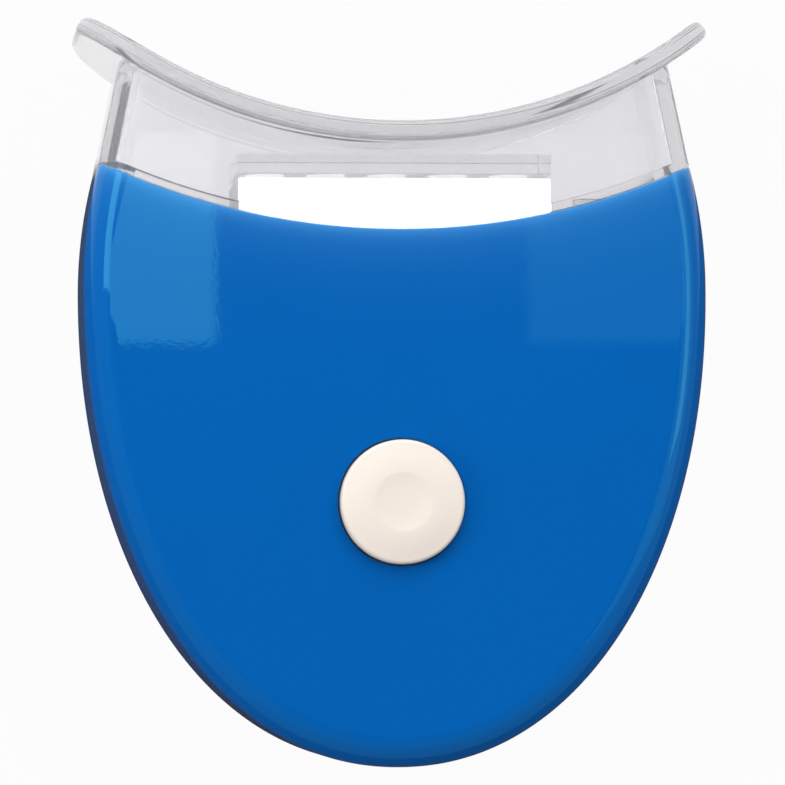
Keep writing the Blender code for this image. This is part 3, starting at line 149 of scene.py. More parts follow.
def colour(name, description, rgb):
    limits = {"min": 0.0, "max": 1.0, "size": 3, "subtype": "COLOR"}
    return FloatVectorProperty(name=name, description=description, default=rgb, **limits)


class CasingSizes(bpy.types.PropertyGroup):
    """Sizes of the two shells and of the battery door."""

    fullness: number("Fullness", "Tail's outline: 2 is an ellipse, more is fuller", 2.1, min=1.5, max=3.0)
    shoulder_rise: length("Shoulder rise", "From the widest place up to the shoulders", 11.6)
    side_radius: length("Side radius", "Curve of the sides above the widest place", 47.0)
    duct_lean: degrees("Duct lean", "How far the clear side walls lean in", 11.6)
    rim_radius: length("Rim radius", "Concave edge where shells and mouthpiece meet", 68.0)
    edge_radius: length("Edge radius", "Rounding round the front and back faces", 3.0)
    wall: length("Wall", "Thickness of the shells", 1.8)
    crisp_edge: length("Crisp edge", "Small rounding of the moulded edges", 0.14)
    seam: length("Seam", "Gap between the two shells", 0.1)
    rim_gap: length("Rim gap", "Gap between the shells and the mouthpiece", 0.1)
    dish_radius: length("Dish radius", "Shallow dish round the button", 9.6)
    dish_depth: length("Dish depth", "Depth of the dish round the button", 0.12)
    raised_inset: length("Raised inset", "Battery bulge's outline inside the shell's", 3.8)
    raised_round: length("Raised rounding", "Rounding of the battery bulge", 1.2)
    raised_from_rim: length("Raised back from rim", "Foot of the bulge's slope from the concave edge", 2.6)
    post_radius: length("Post radius", "Screw posts inside the shells", 2.7)
    board_post_radius: length("Board post radius", "Posts that carry the main board", 2.1)
    head_clearance: length("Head clearance", "Round the case screws' heads", 0.3)
    collar_wall: length("Collar wall", "Wall of the collar round the button", 1.2)
    collar_height: length("Collar height", "Height of the collar round the button", 2.6)
    well_wall: length("Well wall", "Wall of the battery well", 1.2)
    well_clearance: length("Well clearance", "Round the cells", 0.4)
    door_gap: length("Door gap", "Gap round the battery door", 0.18)
    runner_reach: length("Runner reach", "How far the door's runners reach under the rails", 1.1)
    runner_thickness: length("Runner thickness", "Thickness of the door's runners", 0.75)
    tab_width: length("Tab width", "Tongue at the door's inner end", 8.0)
    tab_length: length("Tab length", "Tongue at the door's inner end", 1.2)
    grip_count: count("Grip count", "Grooves for the thumb on the door", 5)
    grip_pitch: length("Grip pitch", "Spacing of the thumb grooves", 1.5)
    grip_width: length("Grip width", "Length of a thumb groove", 9.0)
    grip_radius: length("Grip radius", "Radius of a thumb groove", 0.55)
    grip_from_tail: length("Grips from tail", "First groove from the lamp's tail", 6.2)
    blue: colour("Shell colour", "Blue of the shells", (0.0012, 0.108, 0.42))
    # Painted highlight: the rim colour and its reach paint a paler blue along the concave edge, where light
    # catches the rounded edge.
    painted_highlight_blue: colour("Rim colour", "Blue at the concave edge", (0.06, 0.28, 0.68))
    painted_highlight_depth: length("Rim glow", "How far the paler blue reaches from the concave edge", 0.5)


class MouthpieceSizes(bpy.types.PropertyGroup):
    """Sizes of the clear moulding."""

    wall: length("Wall", "Thickness of the duct's walls", 1.8)
    flange_stand: length("Flange stand", "Shoulders to the middle of the face that meets the lips", 3.9)
    flange_radius: length("Flange radius", "Curve of the face that meets the lips", 46.5)
    flange_width: length("Flange width", "Width of the face that meets the lips", 59.2)
    flange_thickness: length("Flange thickness", "Thickness of the lip flange", 1.9)
    flange_corner: length("Flange corner", "Corner radius of the lip flange", 6.5)
    flange_round: length("Flange rounding", "Rounding along the flange's edge", 0.7)
    tongue_wall: length("Tongue wall", "Wall of the tongue inside the shells", 1.5)
    tongue_length: length("Tongue length", "How far the tongue reaches into the shells", 2.6)
    tongue_gap: length("Tongue gap", "Gap between tongue and shells", 0.3)
    ledge_height: length("Ledge height", "Step seen just above the shells' edge", 1.0)
    ear_thickness: length("Ear thickness", "Thickness of the two screw ears", 1.6)
    ear_width: length("Ear width", "Width of the two screw ears", 7.6)
    ear_hole: length("Ear hole", "Radius of the hole in an ear", 1.3)
    ear_spare: length("Ear spare", "Material beyond the hole in an ear", 3.6)
    tint: colour("Tint", "Tint of the clear plastic", (0.92, 0.912, 0.926))
    density: number("Density", "How much a long way through the clear plastic greys", 30.0, min=0.0)


class ButtonSizes(bpy.types.PropertyGroup):
    """Sizes of the push button's cap."""

    cap_radius: length("Cap radius", "Radius of the visible cap", 5.92)
    travel: length("Travel", "How far the button goes down", 1.2)
    clearance: length("Clearance", "Gap between the cap and its hole", 0.14)
    crown: length("Crown", "Height of the cap's rise above its edge", 0.4)
    edge_round: length("Edge rounding", "Rounding of the cap's edge", 0.45)
    dimple_radius: length("Dimple radius", "Radius of the finger dimple", 2.75)
    dimple_depth: length("Dimple depth", "Depth of the finger dimple", 0.14)
    cap_wall: length("Cap wall", "Thickness of the cap's roof", 1.5)
    skirt_wall: length("Skirt wall", "Thickness of the cap's skirt", 1.2)
    flange_height: length("Flange height", "Height of the stop flange", 1.0)
    socket_wall: length("Socket wall", "Wall of the plunger's socket", 1.0)
    socket_clearance: length("Socket clearance", "Gap between plunger and socket", 0.3)
    cream: colour("Cap colour", "Warm white of the cap", (0.83, 0.75, 0.68))


class LightSizes(bpy.types.PropertyGroup):
    """Sizes of the reflector, lens and lamps."""

    lamp_count: count("Lamp count", "Lamps in the row", 5)
    lamp_pitch: length("Lamp pitch", "Spacing of the lamps", 6.0)
    lamp_radius: length("Lamp radius", "Radius of a lamp's lens", 1.5)
    flange_radius: length("Flange radius", "Radius of a lamp's foot", 1.9)
    flange_height: length("Flange height", "Height of a lamp's foot", 1.0)
    pin_pitch: length("Pin pitch", "Spacing of a lamp's two pins", 2.54)
    pin_side: length("Pin side", "Thickness of a lamp's pins", 0.5)
    lamp_clearance: length("Lamp clearance", "Gap between lamp and reflector", 0.3)
    cup_radius: length("Cup radius", "Mouth of a reflector cup", 2.7)
    block_round: length("Block rounding", "Rounding of the reflector's edges", 0.3)
    lens_round: length("Lens rounding", "Rounding of the lens plate's edges", 0.2)
    # Painted light: the strength of the glow painted on the reflector's upward faces, which is no lamp.
    painted_light: number("Glow", "Light that the white reflector gives off", 1.0, min=0.0)
    white: colour("Reflector colour", "White of the reflector", (0.92, 0.92, 0.92))


class FastenerSizes(bpy.types.PropertyGroup):
    """Sizes of the screws."""

    case_shank: length("Case screw radius", "Shank of the case screws", 1.0)
    case_head_height: length("Case head height", "Head of the case screws", 1.3)
    board_shank: length("Board screw radius", "Shank of the board screws", 0.8)
    board_head_height: length("Board head height", "Head of the board screws", 1.0)
    thread_pitch: length("Thread pitch", "Spacing of the thread's crests", 0.7)
    thread_depth: length("Thread depth", "Depth of the thread", 0.18)
    recess_width: length("Recess width", "Arm of the cross recess", 0.5)
    recess_depth: length("Recess depth", "Depth of the cross recess", 0.6)


class StageSettings(bpy.types.PropertyGroup):
    """Camera, floor and lights."""

    camera_left: length("Camera to the left", "Camera's place left of the lamp", 47.6)
    camera_down: length("Camera towards the tail", "Camera's place towards the tail", 22.0)
    camera_height: length("Camera height", "Camera above the parting plane", 420.0)
    camera_roll: degrees("Camera roll", "Turn about the view", 0.456)
    aim_right: length("Aim right", "What the camera looks at, right of the middle", 0.25)
    aim_up: length("Aim up", "What the camera looks at, towards the mouthpiece", 0.087)
    focal: number("Focal length", "Camera's focal length in millimetres", 199.7)
    floor_side: length("Floor side", "Side of the floor", 4000.0)
    card_start: length("Card start", "From where towards the lips gloss sees a pale card on the floor", 22.2)
    sky_level: number("Sky level", "Light from straight above", 0.13)
    horizon_level: number("Horizon level", "Light from the horizon", 0.42)
    clear_level: number("Clear level", "Surroundings as seen through clear parts", 0.9)
    key_level: number("Key level", "Brightness of the soft light overhead", 1.5)


class Graph:
    """Adds nodes to one node tree and links them."""

    def __init__(self, tree):
        self.tree = tree

    def feed(self, socket, value):
        if isinstance(value, bpy.types.NodeSocket):
            self.tree.links.new(value, socket)
        else:
            socket.default_value = value

    def node(self, kind, inputs=None, **settings):
        made = self.tree.nodes.new(kind)
        rank = len(self.tree.nodes)
        made.location = (220 * (rank % 10), -260 * (rank // 10))
        for name, value in settings.items():
            setattr(made, name, value)
        for key, value in (inputs or {}).items():
            self.feed(made.inputs[key], value)
        return made

    def math(self, operation, first, second=0.0):
        return self.node("ShaderNodeMath", {0: first, 1: second}, operation=operation).outputs[0]

    def add(self, first, second):
        return self.math("ADD", first, second)

    def less(self, first, second):
        return self.math("SUBTRACT", first, second)

    def over(self, first, second):
        return self.math("DIVIDE", first, second)

    def times(self, first, *factors):
        for factor in factors:
            first = self.math("MULTIPLY", first, factor)
        return first

    def blend(self, share, low, high):
        """low where share is 0 and high where it is 1."""
        return self.add(low, self.times(share, self.less(high, low)))

    def vector(self, x, y, z):
        return self.node("ShaderNodeCombineXYZ", {"X": x, "Y": y, "Z": z}).outputs[0]

    def parts(self, vector):
        """The X, Y and Z of a vector."""
        return self.node("ShaderNodeSeparateXYZ", {0: vector}).outputs

    def vector_math(self, operation, inputs):
        return self.node("ShaderNodeVectorMath", inputs, operation=operation).outputs

    def coordinates(self, kind="Object"):
        return self.node("ShaderNodeTexCoord").outputs[kind]

    def noise(self, place, scale, detail):
        inputs = {"Vector": place, "Scale": scale, "Detail": detail}
        return self.node("ShaderNodeTexNoise", inputs).outputs["Fac"]

    def set_position(self, geometry, **place):
        """The geometry with its points at a Position, or moved by an Offset."""
        return self.node("GeometryNodeSetPosition", {"Geometry": geometry, **place}).outputs[0]


def new_tree(name, family, inputs, outputs):
    """A new node tree's graph and inputs. A socket is given by its kind, or a number by its default."""
    tree = bpy.data.node_groups.new(name, family)
    for direction, sockets in (("INPUT", inputs), ("OUTPUT", outputs)):
        for label, given in sockets.items():
            kind = given if isinstance(given, str) else "Float"
            socket = tree.interface.new_socket(name=label, in_out=direction, socket_type="NodeSocket" + kind)
            if kind != given:
                socket.default_value = given
    g = Graph(tree)
    return g, g.node("NodeGroupInput").outputs


def geometry_tree(name, **kinds):
    inputs = {label.replace("_", " "): kind for label, kind in kinds.items()}
    return new_tree(name, "GeometryNodeTree", inputs, {"Geometry": "Geometry"})


def put_out(g, geometry, material):
    """Ends a geometry tree with real geometry in its material."""
    real = g.node("GeometryNodeRealizeInstances", {"Geometry": geometry})
    coloured = g.node("GeometryNodeSetMaterial", {"Geometry": real.outputs[0], "Material": material})
    g.feed(g.node("NodeGroupOutput").inputs[0], coloured.outputs[0])


def put_copies(g, size, places):
    """Ends a geometry tree with a copy of its pattern on each place."""
    pattern = g.node("GeometryNodeObjectInfo", {"Object": size["Pattern"]}).outputs["Geometry"]
    copies = g.node("GeometryNodeInstanceOnPoints", {"Points": places, "Instance": pattern})
    put_out(g, copies.outputs[0], size["Material"])


def casing_slab_tree():
    """A slab with the lamp's outline: a full elliptic tail, curved sides, and sides that lean in above."""
    names = ("Half Width", "Tail Length", "Side Radius", "Shoulder Rise", "Top Rise", "Cap Height")
    names += ("Fullness", "Lean", "Widest Place", "Inset", "Low", "High")
    numbers = dict.fromkeys(names, "Float")
    g, size = geometry_tree("casing_slab", **numbers, Points="Int", Material="Material")
    rise, radius = size["Shoulder Rise"], size["Side Radius"]
    climb_share = 0.8  # of each upper side's points, the others go over the top

    factor = g.node("GeometryNodeSplineParameter").outputs["Factor"]
    angle = g.add(g.times(factor, 2 * math.pi), math.pi)
    power = g.over(2.0, size["Fullness"])
    cosine, sine = g.math("COSINE", angle), g.math("SINE", angle)
    bulge_x = g.math("POWER", g.math("ABSOLUTE", cosine), power)
    bulge_y = g.math("POWER", g.math("ABSOLUTE", sine), power)
    tail_x = g.times(g.math("SIGN", cosine), bulge_x, size["Half Width"])
    tail_drop = g.times(bulge_y, size["Tail Length"], -1.0)

    signed = g.less(3.0, g.times(factor, 4.0))
    progress = g.less(1.0, g.math("ABSOLUTE", signed))
    climb = g.times(g.math("MINIMUM", g.over(progress, climb_share), 1.0), size["Top Rise"])
    arc_rise = g.math("MINIMUM", climb, rise)
    arc = g.less(g.times(radius, radius), g.times(arc_rise, arc_rise))
    side_x = g.less(g.add(size["Half Width"], g.math("SQRT", arc)), radius)
    above = g.math("MAXIMUM", g.less(climb, rise), 0.0)
    side_x = g.less(side_x, g.times(above, size["Lean"]))
    across = g.over(g.less(progress, climb_share), 1.0 - climb_share)
    cap_angle = g.times(g.math("MAXIMUM", across, 0.0), math.pi / 2)
    side_x = g.times(side_x, g.times(g.math("COSINE", cap_angle), g.math("SIGN", signed)))
    climb = g.add(climb, g.times(g.math("SINE", cap_angle), size["Cap Height"]))

    upper = g.math("GREATER_THAN", factor, 0.5)
    x = g.blend(upper, tail_x, side_x)
    y = g.add(g.blend(upper, tail_drop, climb), size["Widest Place"])
    circle = g.node("GeometryNodeCurvePrimitiveCircle", {"Resolution": size["Points"]})
    outline = g.set_position(circle.outputs["Curve"], Position=g.vector(x, y, 0.0))
    tangent = g.parts(g.node("GeometryNodeInputTangent").outputs[0])
    inward = (g.times(tangent["Y"], -1.0, size["Inset"]), g.times(tangent["X"], size["Inset"]))
    moved = g.set_position(outline, Offset=g.vector(*inward, 0.0))
    flat = g.node("GeometryNodeFillCurve", {"Curve": moved}, mode="NGONS").outputs[0]
    face = g.set_position(flat, Offset=g.vector(0.0, 0.0, size["Low"]))
    depth = g.vector(0.0, 0.0, g.less(size["High"], size["Low"]))
    lift = {"Mesh": face, "Offset": depth, "Offset Scale": 1.0, "Individual": False}
    raised = g.node("GeometryNodeExtrudeMesh", lift, mode="FACES").outputs["Mesh"]
    foot = g.node("GeometryNodeFlipFaces", {"Mesh": face}).outputs[0]
    joined = g.node("GeometryNodeJoinGeometry")
    for half in (foot, raised):
        g.feed(joined.inputs[0], half)
    welded = g.node("GeometryNodeMergeByDistance", {"Geometry": joined.outputs[0], "Distance": MERGE})
    put_out(g, welded.outputs[0], size["Material"])
    return g.tree


def row_tree():
    """Copies of one object in a straight row, centred on a place."""
    g, size = geometry_tree(
        "row_of_copies",
        Pattern="Object",
        Count="Int",
        Pitch="Float",
        Direction="Vector",
        Middle="Vector",
        Material="Material",
    )
    step = g.vector_math("SCALE", {0: size["Direction"], "Scale": size["Pitch"]})[0]
    steps_back = g.times(g.less(size["Count"], 1.0), -0.5)
    back = g.vector_math("SCALE", {0: step, "Scale": steps_back})[0]
    start = g.vector_math("ADD", {0: size["Middle"], 1: back})[0]
    line = {"Count": size["Count"], "Start Location": start, "Offset": step}
    put_copies(g, size, g.node("GeometryNodeMeshLine", line, mode="OFFSET").outputs[0])
    return g.tree


def places_tree():
    """Copies of one object on the points of the geometry that comes in."""
    g, size = geometry_tree("copies_on_places", Places="Geometry", Pattern="Object", Material="Material")
    put_copies(g, size, size["Places"])
    return g.tree


def skin_tree(name, **inputs):
    """A shader group that puts out a surface's colour, roughness and height."""
    changes = {"Colour": "Color", "Shade Change": 0.05, "Roughness": 0.25, "Roughness Change": 0.05}
    changes.update({label.replace("_", " "): given for label, given in inputs.items()})
    results = {"Colour": "Color", "Roughness": "Float", "Height": "Float"}
    return new_tree(name, "ShaderNodeTree", changes, results)


def put_skin(g, size, shade_swing, gloss_swing, height):
    """Ends a surface's group: its colour and roughness swing by their changes, and its height goes out."""
    shade = g.add(1.0, g.times(shade_swing, size["Shade Change"]))
    out = g.node("NodeGroupOutput").inputs
    g.feed(out["Colour"], g.vector_math("SCALE", {0: size["Colour"], "Scale": shade})[0])
    g.feed(out["Roughness"], g.add(size["Roughness"], g.times(gloss_swing, size["Roughness Change"])))
    g.feed(out["Height"], height)
    return g.tree


def moulded_skin_tree():
    """Moulded plastic: slow changes of shade and gloss, and a fine grain."""
    g, size = skin_tree("moulded_skin", Patch_Size=0.02, Grain_Size=0.0004)
    place = g.coordinates()
    patches = g.noise(place, g.over(1.0, size["Patch Size"]), 3.0)
    grain = g.noise(place, g.over(1.0, size["Grain Size"]), 2.0)
    swing = g.times(g.less(patches, 0.5), 2.0)
    return put_skin(g, size, g.add(swing, g.less(grain, 0.5)), swing, grain)


def drawn_metal_tree():
    """Drawn or turned metal: fine lines along one direction, with dull and bright patches."""
    g, size = skin_tree("drawn_metal", Stretch="Vector", Line_Size=0.0002)
    patch_share = 0.08
    place = g.coordinates()
    stretched = g.vector_math("MULTIPLY", {0: place, 1: size["Stretch"]})[0]
    scale = g.over(1.0, size["Line Size"])
    lines = g.noise(stretched, scale, 3.0)
    patches = g.noise(place, g.times(scale, patch_share), 2.0)
    swing = g.less(g.add(lines, patches), 1.0)
    return put_skin(g, size, swing, swing, lines)


TREE_MAKERS = {
    "casing_slab": casing_slab_tree,
    "row_of_copies": row_tree,
    "copies_on_places": places_tree,
    "moulded_skin": moulded_skin_tree,
    "drawn_metal": drawn_metal_tree,
}


def shared_tree(name):
    return bpy.data.node_groups.get(name) or TREE_MAKERS[name]()


def new_object(name, mesh):
    obj = bpy.data.objects.new(name, mesh)
    bpy.context.scene.collection.objects.link(obj)
    return obj


def apply_modifiers(obj):
    """Turns what the modifiers make into the object's own plain mesh."""
    bpy.context.view_layer.update()
    graph = bpy.context.evaluated_depsgraph_get()
    mesh = bpy.data.meshes.new_from_object(obj.evaluated_get(graph))
    old = obj.data
    obj.modifiers.clear()
    obj.data = mesh
    bpy.data.meshes.remove(old)
    return obj


def grown(name, tree_name, inputs, mesh=None):
    """An object whose plain mesh is what a geometry tree makes from the named inputs."""
    obj = new_object(name, mesh or bpy.data.meshes.new(name))
    tree = shared_tree(tree_name)
    modifier = obj.modifiers.new(tree_name, "NODES")
    modifier.node_group = tree
    for item in tree.interface.items_tree:
        if item.in_out == "INPUT" and item.name in inputs:
            modifier[item.identifier] = inputs[item.name]
    return apply_modifiers(obj)


def copies_of(pattern, name, tree_name, material, inputs, places=None):
    """Copies of a pattern, laid out by a geometry tree, as one plain mesh. The pattern is used up."""
    inputs = {**inputs, "Pattern": pattern, "Material": finish_material(material)}
    made = grown(name, tree_name, inputs, places)
    bpy.data.objects.remove(pattern, do_unlink=True)
    return made


def opened(obj):
    """The object's mesh, to be changed and given back by closed."""
    bm = bmesh.new()
    bm.from_mesh(obj.data)
    return bm


def closed(obj, bm):
    bm.to_mesh(obj.data)
    bm.free()
    return obj


def object_from_bmesh(name, bm):
    bmesh.ops.recalc_face_normals(bm, faces=bm.faces)
    return closed(new_object(name, bpy.data.meshes.new(name)), bm)


def block(name, low, high):
    """A box between two corners."""
    low, high = Vector(low), Vector(high)
    bm = bmesh.new()
    bmesh.ops.create_cube(bm, size=1.0)
    bmesh.ops.scale(bm, vec=high - low, verts=bm.verts)
    bmesh.ops.translate(bm, vec=(low + high) / 2, verts=bm.verts)
    return object_from_bmesh(name, bm)


def round_bar(name, centre, radius, low, high, steps=POST_STEPS, top_radius=None):
    """An upright cylinder, or a cone where top_radius differs."""
    top = radius if top_radius is None else top_radius
    bm = bmesh.new()
    bmesh.ops.create_cone(bm, cap_ends=True, segments=steps, radius1=radius, radius2=top, depth=high - low)
    bmesh.ops.translate(bm, vec=(centre[0], centre[1], (low + high) / 2), verts=bm.verts)
    return object_from_bmesh(name, bm)


def prism(name, outline, low, high):
    """A flat outline raised between two levels."""
    bm = bmesh.new()
    face = bm.faces.new([bm.verts.new((x, y, low)) for x, y in outline])
    raised = bmesh.ops.extrude_face_region(bm, geom=[face])
    top = [part for part in raised["geom"] if isinstance(part, bmesh.types.BMVert)]
    bmesh.ops.translate(bm, vec=(0.0, 0.0, high - low), verts=top)
    return object_from_bmesh(name, bm)


def turned(name, profile, steps=ROUND_STEPS, centre=(0.0, 0.0)):
    """A solid turned about an upright axis. The profile holds (radius, height) points from the axis at the
    top, down the outside, to the axis at the bottom."""
    mesh = bpy.data.meshes.new(name)
    edges = [(i, i + 1) for i in range(len(profile) - 1)]
    mesh.from_pydata([(radius, 0.0, height) for radius, height in profile], edges, [])
    obj = new_object(name, mesh)
    screw = obj.modifiers.new("turn", "SCREW")
    screw.steps = screw.render_steps = steps
    screw.use_merge_vertices = True
    screw.merge_threshold = MERGE
    apply_modifiers(obj)
    obj.data.transform(Matrix.Translation((centre[0], centre[1], 0.0)))
    return obj


def arc_points(centre, radius, start, end, steps=EDGE_STEPS):
    """Points (radius, height) along an arc, angles in degrees from the outward direction."""
    points = []
    for i in range(steps + 1):
        angle = math.radians(start + (end - start) * i / steps)
        points.append((centre[0] + radius * math.cos(angle), centre[1] + radius * math.sin(angle)))
    return points


def rounded_rectangle(width, height, radius, steps):
    points = []
    for quarter in range(4):
        x = (width / 2 - radius) * (1 if quarter in (0, 3) else -1)
        y = (height / 2 - radius) * (1 if quarter in (0, 1) else -1)
        points += arc_points((x, y), radius, 90 * quarter, 90 * quarter + 90, steps)
    return points


def combine(obj, other, operation):
    modifier = obj.modifiers.new(operation, "BOOLEAN")
    modifier.operation = operation
    modifier.object = other
    modifier.solver = "EXACT"
    apply_modifiers(obj)
    bpy.data.objects.remove(other, do_unlink=True)
    return obj


def cut(obj, other):
    return combine(obj, other, "DIFFERENCE")


def join(obj, other):
    return combine(obj, other, "UNION")


def keep(obj, other):
    return combine(obj, other, "INTERSECT")


def round_edges(obj, width, steps, angle=math.radians(50.0)):
    bevel = obj.modifiers.new("rounding", "BEVEL")
    bevel.width = width
    bevel.segments = steps
    bevel.limit_method = "ANGLE"
    bevel.angle_limit = angle
    bevel.use_clamp_overlap = False
    return apply_modifiers(obj)


def casing_slab(name, inset, low, high, rounding=0.0):
    """A slab with the lamp's outline, its two long edges rounded."""
    sizes = bpy.context.scene.lamp_casing
    widest_y = shoulder_y - sizes.shoulder_rise
    inputs = {
        "Half Width": half_width,
        "Tail Length": widest_y - tail_y,
        "Fullness": sizes.fullness,
        "Side Radius": sizes.side_radius,
        "Shoulder Rise": sizes.shoulder_rise,
        "Top Rise": tip_y + OVERRUN - widest_y,
        "Cap Height": half_width / 2,
        "Lean": math.tan(sizes.duct_lean),
        "Widest Place": widest_y,
        "Inset": inset,
        "Low": low,
        "High": high,
        "Points": OUTLINE_POINTS,
    }
    obj = grown(name, "casing_slab", inputs)
    bm = opened(obj)
    bmesh.ops.remove_doubles(bm, verts=bm.verts, dist=MERGE)
    bmesh.ops.recalc_face_normals(bm, faces=bm.faces)
    closed(obj, bm)
    if rounding:
        round_edges(obj, rounding, EDGE_STEPS, math.radians(60.0))
    return obj


def shoulder_half():
    """Half the shells' width at their shoulders."""
    sizes = bpy.context.scene.lamp_casing
    return half_width - sizes.side_radius + math.sqrt(sizes.side_radius**2 - sizes.shoulder_rise**2)


def rim_axis_y():
    """The axis of the shells' concave edge."""
    sizes = bpy.context.scene.lamp_casing
    return shoulder_y + math.sqrt(sizes.rim_radius**2 - shoulder_half() ** 2)


def flange_axis_y():
    """The axis that the lip flange is bent about."""
    sizes = bpy.context.scene.lamp_mouthpiece
    return shoulder_y + sizes.flange_stand + sizes.flange_radius


def tall_bar(name, axis_y, radius):
    """An upright cylinder that reaches past the lamp above and below."""
    return round_bar(name, (0.0, axis_y), radius, cad_low.z - OVERRUN, cad_high.z + OVERRUN, ARC_STEPS)


def clear_rim(obj):
    """Welds the points that lie close to the concave edge onto it, so that its rounding has room."""
    sizes = bpy.context.scene.lamp_casing
    reach = 2.5 * sizes.crisp_edge
    nearly = reach / 20
    bm = opened(obj)
    on_rim = set()
    for vertex in bm.verts:
        off = math.hypot(vertex.co.x, vertex.co.y - rim_axis_y()) - sizes.rim_radius
        if abs(off) < nearly:
            on_rim.add(vertex)
    moves = {}
    for edge in bm.edges:
        first, second = edge.verts
        if edge.calc_length() < reach and (first in on_rim) != (second in on_rim):
            rim, other = (first, second) if first in on_rim else (second, first)
            moves[other] = rim
    bmesh.ops.weld_verts(bm, targetmap=moves)
    closed(obj, bm)


def finish(obj, name, material, slot, body, *replaced):
    """Cleans the mesh, smooths its shading, gives it its material and fastens it to its body."""
    bm = opened(obj)
    bmesh.ops.remove_doubles(bm, verts=bm.verts, dist=TINY)
    bmesh.ops.dissolve_degenerate(bm, edges=bm.edges, dist=TINY)
    closed(obj, bm)
    obj.data.shade_smooth()
    obj.data.set_sharp_from_angle(angle=SHARP)
    obj.modifiers.new("weighted_normals", "WEIGHTED_NORMAL").keep_sharp = True
    apply_modifiers(obj)
    obj.name = obj.data.name = name
    obj.data.materials.clear()
    obj.data.materials.append(finish_material(material))
    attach(obj, body)
    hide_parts(*replaced)
    return obj


def outer_shell(name, low_z, high_z, is_front, bulge=None):
    """One half of the casing as a full solid, rounded along its edges and cut at the concave rim."""
    sizes = bpy.context.scene.lamp_casing
    spare = sizes.edge_radius + OVERRUN
    reach = half_width + OVERRUN
    slab_low, slab_high = (low_z - spare, high_z) if is_front else (low_z, high_z + spare)
    trim_low, trim_high = (low_z - 2 * spare, low_z) if is_front else (high_z, high_z + 2 * spare)
    shell = casing_slab(name, 0.0, slab_low, slab_high, sizes.edge_radius)
    if bulge:
        join(shell, bulge)
    cut(shell, block("trim", (-reach, tail_y - OVERRUN, trim_low), (reach, tip_y + half_width, trim_high)))
    cut(shell, tall_bar("rim", rim_axis_y(), sizes.rim_radius))
    clear_rim(shell)
    return round_edges(shell, sizes.crisp_edge, 3, CRISP_ANGLE)


def post_foot(place, gap_side):
    """Where a case screw's post ends: at the clear ears for the upper two, at the seam for the others."""
    clear = bpy.context.scene.lamp_mouthpiece
    seam = bpy.context.scene.lamp_casing.seam / 2
    reach = clear.ear_thickness / 2 + seat_gap if place.y > button_y else seam
    return parting_z + gap_side * reach


def led_board_ribs(obj, low_z, high_z):
    """Two ribs that carry the lamps' board."""
    high_y = led_board_low.y - seat_gap
    wall = bpy.context.scene.lamp_casing.wall
    rib_x = led_board_high.x - 3 * wall
    for side in (-1, 1):
        low = (side * rib_x - 2 * wall / 3, high_y - wall, low_z)
        high = (side * rib_x + 2 * wall / 3, high_y, high_z)
        join(obj, block("rib", low, high))


def make_front_shell():
    """The front half: its posts, pegs and ribs, the button's collar and hole, and the dish round it."""
    sizes = bpy.context.scene.lamp_casing
    cap = bpy.context.scene.lamp_button
    screws = bpy.context.scene.lamp_fasteners
    low_z = parting_z + sizes.seam / 2
    inner_z = front_z - sizes.wall
    root_z = inner_z + EMBED
    post_z = board_high.z + seat_gap
    above_z = front_z + OVERRUN
    inner_edge = sizes.edge_radius - sizes.wall
    rib_depth = 3 * MM
    shell = outer_shell("front_half", low_z, front_z, True)
    cut(shell, casing_slab("cavity", sizes.wall, low_z - 2 * sizes.edge_radius, inner_z, inner_edge))
    for place in case_places:
        join(shell, round_bar("post", place, sizes.post_radius, post_foot(place, 1), root_z))
    for place in board_places:
        join(shell, round_bar("board_post", place, sizes.board_post_radius, post_z, root_z))
    for side in (-1, 1):
        place = (side * board_high.x * 2 / 3, board_low.y + sizes.board_post_radius + seat_gap)
        join(shell, round_bar("peg", place, sizes.board_post_radius * 2 / 3, post_z, root_z))
    bore = button_high.x + seat_gap
    collar_low = inner_z - sizes.collar_height
    join(shell, round_bar("collar", button_axis, bore + sizes.collar_wall, collar_low, root_z, ROUND_STEPS))
    led_board_ribs(shell, led_board_high.z - rib_depth, root_z)
    cut(shell, round_bar("collar_bore", button_axis, bore, inner_z - OVERRUN, inner_z, ROUND_STEPS))

    dish_reach = sizes.dish_radius**2 / (2 * sizes.dish_depth)
    dish_angle = math.degrees(math.asin(sizes.dish_radius / dish_reach))
    bowl_z = front_z - sizes.dish_depth + dish_reach
    bowl = arc_points((0.0, bowl_z), dish_reach, dish_angle - 90, -90, 3 * EDGE_STEPS)
    bowl[-1] = (0.0, bowl[-1][1])
    dish = [(0.0, above_z), (sizes.dish_radius, above_z), *bowl]
    cut(shell, turned("dish", dish, 2 * ROUND_STEPS, button_axis))
    hole = cap.cap_radius + cap.clearance
    lip = sizes.crisp_edge
    mouth = [
        (0.0, above_z),
        (hole + lip, above_z),
        *arc_points((hole + lip, front_z - lip - sizes.dish_depth), lip, 90, 180),
        (hole, inner_z - OVERRUN),
        (0.0, inner_z - OVERRUN),
    ]
    cut(shell, turned("button_hole", mouth, 2 * ROUND_STEPS, button_axis))
    for boxes, radius in ((case_screw_boxes, screws.case_shank), (board_screw_boxes, screws.board_shank)):
        for corners in boxes:
            pilot_top = corners[1].z + seat_gap
            cut(shell, round_bar("pilot", middle(corners), radius, low_z - OVERRUN, pilot_top))
    finish(shell, "front_casing", "blue_plastic", "blue_shell", "case", "front_shell")


def raised_form(name, extra_inset=0.0):
    """The battery bulge, down to the surface that the lamp lies on."""
    sizes = bpy.context.scene.lamp_casing
    top_z = back_wall_z + sizes.wall + sizes.raised_round
    inset = sizes.raised_inset + extra_inset
    return casing_slab(name, inset, back_low.z + extra_inset, top_z, sizes.raised_round)


